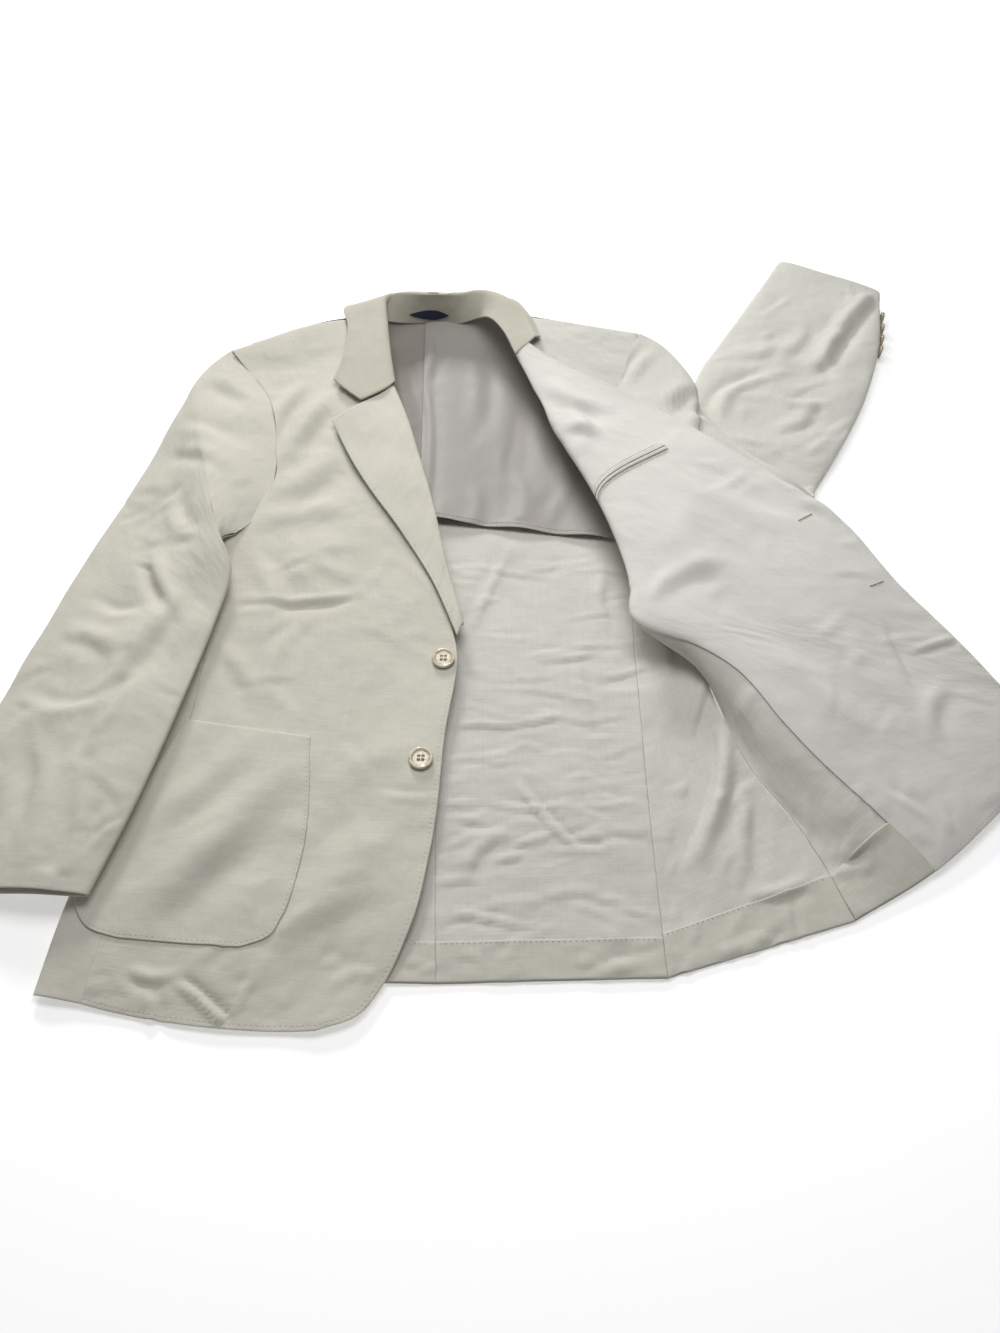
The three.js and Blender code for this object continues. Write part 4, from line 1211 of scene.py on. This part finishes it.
# Cloth pieces: size is the mesh's cells across and along, flat the cut piece in metres and area its cloth
clothPieces = [
    {
        "name": "back_right",
        "surface": backRight,
        "size": (52, 170),
        "walls": (0, cloth),
        "relief": inPlan(backRelief),
        "material": linenInside,
        "flat": (0.22, 0.79),
        "area": 0.133,
    },
    {
        "name": "back_left",
        "surface": backLeft,
        "size": (76, 250),
        "walls": (0, cloth),
        "relief": inPlan(backRelief),
        "material": linenInside,
        "flat": (0.23, 0.79),
        "area": 0.138,
    },
    {
        "name": "hem_back_right",
        "surface": cut(backRight, 0, 1, 0.001, hemShare),
        "size": (70, 12),
        "walls": (cloth, 2 * cloth),
        "relief": inPlan(backRelief),
        "material": linenHem,
        "flat": (0.17, 0.031),
    },
    {
        "name": "hem_back_left",
        "surface": cut(backLeft, 0, 1, 0.001, hemShare),
        "size": (70, 12),
        "walls": (cloth, 2 * cloth),
        "relief": inPlan(backRelief),
        "material": linenHem,
        "flat": (0.17, 0.031),
    },
    {
        "name": "lining_right",
        "surface": liningRight,
        "size": (52, 100),
        "walls": (0, satin),
        "relief": inPlan(liningRelief),
        "material": liningShade,
        "slot": "lining",
        "flat": (0.20, 0.33),
        "area": 0.049,
    },
    {
        "name": "lining_left",
        "surface": liningLeft,
        "size": (80, 130),
        "walls": (0, satin),
        "relief": inPlan(liningRelief),
        "material": liningSatin,
        "slot": "lining",
        "flat": (0.22, 0.33),
        "area": 0.062,
    },
    {
        "name": "side_right",
        "surface": cut(sideRight, 0, 1, 0, 1.04),
        "size": (56, 130),
        "walls": (0, -cloth),
        "relief": lambda u, v, p: frontRelief(p[..., 0], p[..., 1]) * smooth(u, 0.55, 1),
        "material": linen,
        "flat": (0.17, 0.41),
        "area": 0.049,
    },
    {
        "name": "front_right",
        "surface": frontRight,
        "size": (84, 260),
        "dense": ((0.427, 0.012), ()),
        "walls": (0, cloth),
        "relief": inPlan(frontRelief),
        "stitched": ("first", "right"),
        "material": linenPicked,
        "flat": (0.26, 0.76),
        "area": 0.130,
    },
    {
        "name": "lapel_right",
        "surface": cut(lapelRight, 0, 1, 0, 1.006),
        "size": (70, 110),
        "walls": (0, leafWall),
        "relief": lambda u, v, p: openSway(p[..., 0] * 1.7, p[..., 1] * 1.7) * 0.8 * smooth(u, 0.5, 0.7),
        "stitched": ("first", "right"),
        "material": linenPicked,
        "held": "folded",
        "flat": (0.12, 0.33),
        "area": 0.020,
    },
    {
        "name": "collar",
        "surface": collar,
        "size": (56, 160),
        "walls": (0, -leafWall),
        "stitched": ("first", "right"),
        "material": linenCollar,
        "held": "folded",
        "flat": (0.11, 0.42),
        "area": 0.027,
    },
    {
        "name": "front_left",
        "surface": frontLeft,
        "size": (96, 170),
        "walls": (0, cloth),
        "relief": inPlan(openRelief),
        "up": -1,
        "material": linenInside,
        "held": "folded",
        "flat": (0.34, 0.78),
        "area": 0.140,
    },
    {
        "name": "facing_left",
        "surface": cut(frontLeft, 0.48, 1, 0, 1),
        "size": (100, 220),
        "walls": (-cloth - 0.1, -0.1),
        "relief": inPlan(openRelief),
        "up": -1,
        "stitched": ("right", "lastBack"),
        "material": linenFacing,
        "held": "folded",
        "flat": (0.28, 0.78),
        "area": 0.096,
    },
    {
        "name": "side_left",
        "surface": sideLeft,
        "size": (44, 150),
        "walls": (0, cloth),
        "relief": inPlan(backRelief),
        "material": linenInside,
        "flat": (0.15, 0.42),
        "area": 0.032,
    },
    {
        "name": "hem_side_left",
        "surface": cut(sideLeft, 0.0, 1.0, 0.001, 0.085),
        "size": (54, 12),
        "walls": (cloth, 2 * cloth),
        "relief": inPlan(backRelief),
        "material": linenHem,
        "flat": (0.15, 0.035),
    },
    {
        "name": "hem_front_left",
        "surface": cut(frontLeft, 0.0, 0.5, 0.955, 0.999),
        "size": (30, 14),
        "walls": (-cloth, 0),
        "relief": inPlan(openRelief),
        "up": -1,
        "material": linenHem,
        "held": "folded",
        "flat": (0.095, 0.035),
    },
    {
        "name": "lapel_left",
        "surface": lapelLeft,
        "size": (24, 60),
        "walls": (cloth + 0.6, cloth + 0.6 + leafWall),
        "relief": inPlan(openRelief),
        "up": -1,
        "material": linen,
        "held": "folded",
        "flat": (0.10, 0.30),
        "area": 0.011,
    },
    {
        "name": "pocket_right",
        "surface": pocketRight,
        "size": (60, 74),
        "walls": (cloth, 2 * cloth),
        "relief": inPlan(frontRelief),
        "stitched": ("leftBack", "first", "right"),
        "material": linenPocket,
        "flat": (0.16, 0.19),
        "area": 0.025,
    },
    {
        "name": "pocket_left",
        "surface": cut(frontLeft, 0.6, 0.85, 0.66, 0.93),
        "size": (30, 30),
        "walls": (cloth + 0.2, 2 * cloth + 0.2),
        "relief": inPlan(openRelief),
        "up": -1,
        "material": linen,
        "held": "folded",
        "flat": (0.12, 0.13),
        "area": 0.0137,
    },
    {
        "name": "inside_pocket_welt",
        "surface": welt,
        "size": (60, 6),
        "walls": (-0.9 - 2 * cloth, -0.1 - cloth),
        "relief": inPlan(openRelief),
        "up": -1,
        "material": linenInside,
        "held": "folded",
        "flat": (0.105, 0.011),
    },
]
# Sleeve panels. sleeveShown says how far along its length a panel faces up: its other side lies smooth
sleevePanels = [
    {"side": "right", "part": "top", "size": (60, 190), "flat": (0.20, 0.64), "area": 0.086},
    {"side": "right", "part": "under", "size": (46, 110), "flat": (0.19, 0.64), "area": 0.083},
    {"side": "left", "part": "top", "size": (56, 170), "flat": (0.22, 0.64), "area": 0.093},
    {"side": "left", "part": "under", "size": (60, 190), "flat": (0.21, 0.64), "area": 0.092},
]
sleeveShown = {
    ("right", "top"): lambda v: 1 + 0 * v,
    ("right", "under"): lambda v: 0.1 + 0 * v,
    ("left", "top"): lambda v: smooth(-v, -0.4, -0.33),
    ("left", "under"): lambda v: smooth(v, 0.4, 0.48),
}
sleeveForms = {"right": (sleeveRight, sleeveRightCreases), "left": (sleeveLeft, sleeveLeftCreases)}


def sleeveRelief(field, shown):
    def relief(u, v, p):
        x, y = p[..., 0], p[..., 1]
        height = field(x, y) + sleeveSway(x, y)
        return height * np.clip(np.sin(np.pi * u), 0, 1) ** 0.5 * smooth(v, 0, 0.05) * shown(v)

    return relief


for row in sleevePanels:
    made, field = sleeveForms[row["side"]]
    out = made["out"] * (1 if row["part"] == "top" else -1)
    clothPieces.append(
        {
            "name": f"sleeve_{row['side']}_{row['part']}",
            "surface": made[row["part"]],
            "walls": (0, out * cloth),
            "relief": sleeveRelief(field, sleeveShown[row["side"], row["part"]]),
            "up": out,
            # The left sleeve's outer cloth takes the cooler inside look, a painted tint for the cooler light
            # that falls on it
            "material": linen if row["side"] == "right" else linenInside,
            "held": "folded" if row["side"] == "left" else "laid",
            **{key: row[key] for key in ("size", "flat", "area")},
        }
    )

for row in clothPieces:
    across, along = row["size"]
    denseU, denseV = row.get("dense", ((), ()))
    low, high = sorted(row["walls"])
    piece = shell(
        row["name"] + "_cloth",
        row["surface"],
        lines(across, [denseU] if denseU else []),
        lines(along, [denseV] if denseV else []),
        low,
        high,
        row.get("relief"),
        row.get("up", 1),
        row.get("stitched", ()),
    )
    finishPiece(piece, row["material"], [row["name"]])

piece = shell("neck_label_tape", label, lines(10), lines(60), -leafWall - 1.0, -leafWall - 0.1)
finishPiece(piece, labelWeave, ["neck_label"])


buttonSizes = {
    "front": {"radius": 10.0, "thick": 3.6, "rim": 2.2, "dish": 1.2, "hole": 1.15, "spread": 2.4},
    "cuff": {"radius": 7.5, "thick": 3.0, "rim": 1.6, "dish": 0.9, "hole": 0.9, "spread": 1.8},
}


def pointOn(surface, u, v, step=0.002):
    at = surface(np.array([u]), np.array([v]))[0]
    du = surface(np.array([u + step]), np.array([v]))[0] - surface(np.array([u - step]), np.array([v]))[0]
    dv = surface(np.array([u]), np.array([v + step]))[0] - surface(np.array([u]), np.array([v - step]))[0]
    n = np.cross(du, dv)
    return at, n / np.linalg.norm(n)


def axes(normal):
    side = np.cross([0.0, 1.0, 0.1], normal)
    side /= np.linalg.norm(side)
    return side, np.cross(normal, side)


# Turned disc: profile rings round the axis, with four pits through its dished face
def button(name, size, at, normal, material):
    r, thick, rim, dish = size["radius"], size["thick"], size["rim"], size["dish"]
    profile = [(0.02, 0), (r * 0.6, 0), (r * 0.86, 0.25), (r * 0.97, thick * 0.3), (r, thick * 0.55)]
    profile += [(r - 0.15, thick * 0.8), (r - 0.5, thick * 0.96)]
    profile += [(r - rim * 0.55, thick), (r - rim * 0.9, thick - 0.1)]
    profile += [(r - rim * 1.25, thick - dish * 0.6), (r - rim * 1.6, thick - dish)]
    profile += [(s, thick - dish) for s in np.linspace(r - rim * 1.9, 0.02, 22)]
    radii, heights = np.array(profile).T
    turn = np.linspace(0, 2 * np.pi, 72, endpoint=False)
    x = radii[:, None] * np.cos(turn)
    y = radii[:, None] * np.sin(turn)
    z = np.broadcast_to(heights[:, None], x.shape).copy()
    face = np.arange(len(radii)) > 10
    for k in range(4):
        middle = math.pi / 4 + k * math.pi / 2
        gap = np.hypot(x - size["spread"] * math.cos(middle), y - size["spread"] * math.sin(middle))
        pit = (thick - dish - 0.4) * (1 - smooth(gap, size["hole"] * 0.8, size["hole"] * 1.15))
        z = np.where(face[:, None], z - pit, z)
    side, other = axes(normal)
    points = np.asarray(at) + x[..., None] * side + y[..., None] * other + z[..., None] * normal
    made = meshObject(name + "_disc", points, gridFaces(len(radii), len(turn), 0, True))
    return finishPiece(made, material, [name])


# Thread through a button's holes: two bars of a few strands, their ends dipping into the holes
def buttonThread(name, size, at, normal):
    side, other = axes(normal)
    face = size["thick"] - size["dish"]
    points, faces = [], []
    for across in (-1, 1):
        for strand in (-0.35, 0, 0.35):
            s = np.linspace(-1, 1, 9)[:, None]
            turn = np.linspace(0, 2 * np.pi, 6, endpoint=False)[None, :]
            reach = size["spread"] * 0.71
            x = across * reach + strand + 0.24 * np.cos(turn) + 0 * s
            y = reach * s * 1.1 + 0 * turn
            z = face + 0.25 - 1.5 * s**6 + 0.24 * np.sin(turn)
            grid = np.asarray(at) + x[..., None] * side + y[..., None] * other + z[..., None] * normal
            start = len(points) * grid.shape[0] * grid.shape[1]
            points.append(grid.reshape(-1, 3))
            faces.append(gridFaces(grid.shape[0], grid.shape[1], start, True))
    made = meshObject(name, np.concatenate(points), np.concatenate(faces))
    return finishPiece(made, threadLinen)


frontButtonRows = [
    {"name": "button_front_upper", "x": upperButton["x"], "y": upperButton["y"], "turn": 0.4},
    {"name": "button_front_lower", "x": -18, "y": 179, "turn": 1.3},
]
for row in frontButtonRows:
    x, y = row["x"], row["y"]
    lift = float(frontRelief(np.array([x], float), np.array([y], float))[0])
    at = np.array([x, y, float(lie(y)) + cloth + 0.7 + lift])
    n = np.array([0, -0.05, 1.0]) / math.hypot(0.05, 1)
    horn = hornMaterial(row["name"] + "_horn", looks["horn"], row["turn"])
    button(row["name"], buttonSizes["front"], at, n, horn)
    buttonThread(row["name"] + "_thread", buttonSizes["front"], at, n)

cuffHorn = hornMaterial("cuffHorn", looks["cuffHorn"], 0.9)
cuffRows = [
    {"side": "right", "sleeve": sleeveRight, "u": 0.17, "pitch": 0.034, "stand": 1.2},
    {"side": "left", "sleeve": sleeveLeft, "u": 0.005, "pitch": 0.026, "stand": 0.3},
]
for row in cuffRows:
    for i in range(4):
        at, n = pointOn(row["sleeve"]["top"], row["u"], 0.945 - i * row["pitch"])
        n = n * row["sleeve"]["out"]
        name = f"cuff_button_{row['side']}_{i + 1}"
        button(name, buttonSizes["cuff"], at + n * (cloth + row["stand"]), n, cuffHorn)
        buttonThread(name + "_thread", buttonSizes["cuff"], at + n * (cloth + row["stand"]), n)
print("buttons made")


# Path given as u, v pairs, moved out of the surface along its relief
def onSurface(surface, u, v, relief, up, out):
    u, v = np.asarray(u, float), np.asarray(v, float)
    step = 0.002
    at = surface(u, v)
    n = np.cross(surface(u + step, v) - surface(u - step, v), surface(u, v + step) - surface(u, v - step))
    n /= np.linalg.norm(n, axis=-1, keepdims=True)
    lift = relief(at[..., 0], at[..., 1]) * up
    return at + n * (lift + out)[..., None], n


# Tube along a line of points, its radius swelling with each turn of thread
def tube(points, radius, bumps=0.0, pitch=0.9, sides=6):
    way = np.gradient(points, axis=0)
    way /= np.linalg.norm(way, axis=1, keepdims=True)
    side = np.cross(way, [0.0, 0.0, 1.0])
    side /= np.linalg.norm(side, axis=1, keepdims=True)
    top = np.cross(side, way)
    run = np.concatenate([[0], np.cumsum(np.linalg.norm(np.diff(points, axis=0), axis=1))])
    size = radius * (1 + bumps * np.sin(run * 2 * np.pi / pitch))
    size[[0, -1]] *= 0.3
    turn = np.linspace(0, 2 * np.pi, sides, endpoint=False)
    ring = np.cos(turn)[None, :, None] * side[:, None] + np.sin(turn)[None, :, None] * top[:, None]
    return points[:, None] + ring * size[:, None, None]


# Short stitches along a line: each is a small tapered tube between two points of the line
def stitchRow(name, points, pitch, share, radius, material):
    run = np.concatenate([[0], np.cumsum(np.linalg.norm(np.diff(points, axis=0), axis=1))])
    starts = np.arange(pitch * 0.3, run[-1] - pitch, pitch)
    chance = np.random.default_rng(len(name))
    starts = starts + chance.uniform(-0.12, 0.12, len(starts)) * pitch
    s = np.array([0.0, 0.18, 0.5, 0.82, 1.0])
    at = starts[:, None] + s * pitch * share
    line = np.stack([np.interp(at, run, points[:, k]) for k in range(3)], axis=-1)
    line[..., 2] += radius * 0.9 * np.sin(np.pi * s)
    way = line[:, -1] - line[:, 0]
    side = np.cross(way, [0.0, 0.0, 1.0])
    side /= np.linalg.norm(side, axis=1, keepdims=True)
    turn = np.linspace(0, 2 * np.pi, 6, endpoint=False)
    size = radius * np.array([0.25, 0.9, 1.0, 0.9, 0.25])
    ring = np.cos(turn)[:, None] * side[:, None, None] + np.sin(turn)[:, None] * np.array([0, 0, 1.0])
    grids = line[:, :, None] + ring * size[None, :, None, None]
    faces = np.concatenate([gridFaces(5, 6, k * 30, True) for k in range(len(starts))])
    return finishPiece(meshObject(name, grids, faces), material)


openUp = -1


def onFacing(u, v, out=0.0):
    return onSurface(frontLeft, u, v, openRelief, openUp, -(cloth + 0.1 + np.asarray(out)))


# Buttonholes: a slit with a corded edge, sewn through the facing; the slit is a near-black tube of painted
# shade
buttonholes = [
    {"name": "buttonhole_upper", "u": 0.936, "v": 0.423, "long": (0.040, -0.012)},
    {"name": "buttonhole_lower", "u": 0.958, "v": 0.520, "long": (0.032, -0.011)},
]
for row in buttonholes:
    t = np.linspace(0, 1, 40)
    ends = [row["u"] + row["long"][0] * (t - 0.5), row["v"] + row["long"][1] * (t - 0.5)]
    middle, n = onFacing(*ends, 0.25)
    across = np.cross(np.gradient(middle, axis=0), n)
    across /= np.linalg.norm(across, axis=1, keepdims=True)
    slit = tube(middle, 0.42, sides=8)
    made = meshObject(row["name"] + "_slit", slit, gridFaces(40, 8, 0, True))
    finishPiece(made, slitShade)
    for k, sign in enumerate((-1, 1)):
        edge = tube(middle + across * sign * 0.6, 0.38, 0.25, 0.9, 8)
        made = meshObject(f"{row['name']}_edge_{k + 1}", edge, gridFaces(40, 8, 0, True))
        finishPiece(made, threadLinen)

# Stitching round the inside pocket's welt, and a near-black tube of painted shade along its mouth
t = np.linspace(0, 1, 160)
weltU = lerp(weltFrom["u"], weltTo["u"], t)
weltV = lerp(weltFrom["v"], weltTo["v"], t)
for name, shift, out in (("welt_stitches_upper", -0.0085, 0.1), ("welt_stitches_lower", 0.0085, 0.1)):
    points, _ = onFacing(weltU, weltV + shift, out)
    stitchRow(name, points, 2.6, 0.62, 0.32, threadLinen)
points, _ = onFacing(weltU, weltV + 0.0005, cloth + 0.75)
made = meshObject("welt_mouth", tube(points, 0.42, sides=8), gridFaces(160, 8, 0, True))
finishPiece(made, slitShade)

# Loose stitching along the lining's hem
points = liningLeft(np.linspace(0.02, 0.98, 220), np.full(220, 0.018))
points[:, 2] += satin + 0.2 + liningRelief(points[:, 0], points[:, 1])
stitchRow("lining_hem_stitches", points, 3.4, 0.6, 0.28, threadLinen)

# Hem stitching of the back and side
for name, surface, v in (
    ("hem_stitches_right", backRight, hemShare - 0.0022),
    ("hem_stitches_left", backLeft, hemShare - 0.0022),
    ("hem_stitches_side", sideLeft, 0.081),
):
    points = surface(np.linspace(0.01, 0.99, 160), np.full(160, v))
    points[:, 2] += 2 * cloth + 0.1 + backRelief(points[:, 0], points[:, 1])
    stitchRow(name, points, 4.2, 0.35, 0.22, threadLinen)
print("sewing made")


table = {"half": 6.0, "drop": 0.0002, "colour": 0.9, "glow": 0.35}


def stageMaterial():
    made, tree, shader = newMaterial("table")
    shader.inputs["Base Color"].default_value = (*[table["colour"]] * 3, 1)
    shader.inputs["Roughness"].default_value = 0.9
    shader.inputs["Emission Color"].default_value = (1, 1, 1, 1)
    shader.inputs["Emission Strength"].default_value = table["glow"]
    return made


signs = [(-1, -1), (1, -1), (1, 1), (-1, 1)]
corners = [(x * table["half"], y * table["half"], -table["drop"]) for x, y in signs]
floorMesh = bpy.data.meshes.new("table")
floorMesh.from_pydata(corners, [], [(0, 1, 2, 3)])
floor = bpy.data.objects.new("table", floorMesh)
floor.data.materials.append(stageMaterial())
bpy.context.scene.collection.objects.link(floor)

lights = {
    "lamp": {"at": (0.04, 0.16, 1.0), "size": (0.7, 0.45), "power": 6.5, "colour": (1.0, 1.0, 1.0)},
    "window": {"at": (-0.6, 2.2, 1.1), "size": (0.6, 0.5), "power": 42, "colour": (1.0, 1.0, 1.0)},
    "fill": {"at": (-1.2, 0.6, 1.7), "size": (1.6, 1.6), "power": 3, "colour": (1.0, 0.99, 0.97)},
}
for name, row in lights.items():
    lamp = bpy.data.lights.new(name, "AREA")
    lamp.shape = "RECTANGLE"
    lamp.size, lamp.size_y = row["size"]
    lamp.energy = row["power"]
    lamp.color = row["colour"]
    made = bpy.data.objects.new(name, lamp)
    made.location = row["at"]
    direction = -np.array(row["at"])
    tilt = math.atan2(math.hypot(direction[0], direction[1]), -direction[2])
    made.rotation_euler = (tilt, 0, math.atan2(direction[1], direction[0]) - math.pi / 2)
    bpy.context.scene.collection.objects.link(made)

room = {"colour": (0.98, 0.99, 1.0), "strength": 0.22}
world = bpy.data.worlds.new("room")
world.use_nodes = True
world.node_tree.nodes["Background"].inputs["Color"].default_value = (*room["colour"], 1)
world.node_tree.nodes["Background"].inputs["Strength"].default_value = room["strength"]
bpy.context.scene.world = world
bpy.context.scene.view_settings.view_transform = "Standard"

# Camera over the near edge of the table, wide lens, looking down towards the collar
view = {"at": (46.7, -215.4, 735.0), "elevation": 56.0, "lens": 27.0}
camera = bpy.data.objects.new("camera", bpy.data.cameras.new("camera"))
camera.data.lens = view["lens"]
camera.data.sensor_width = 36.0
camera.data.clip_start = 0.01
camera.location = toFrame(np.array(view["at"]))[0]
camera.rotation_euler = (math.radians(90 - view["elevation"]), 0, 0)
bpy.context.scene.collection.objects.link(camera)
bpy.context.scene.camera = camera

print("stage set")
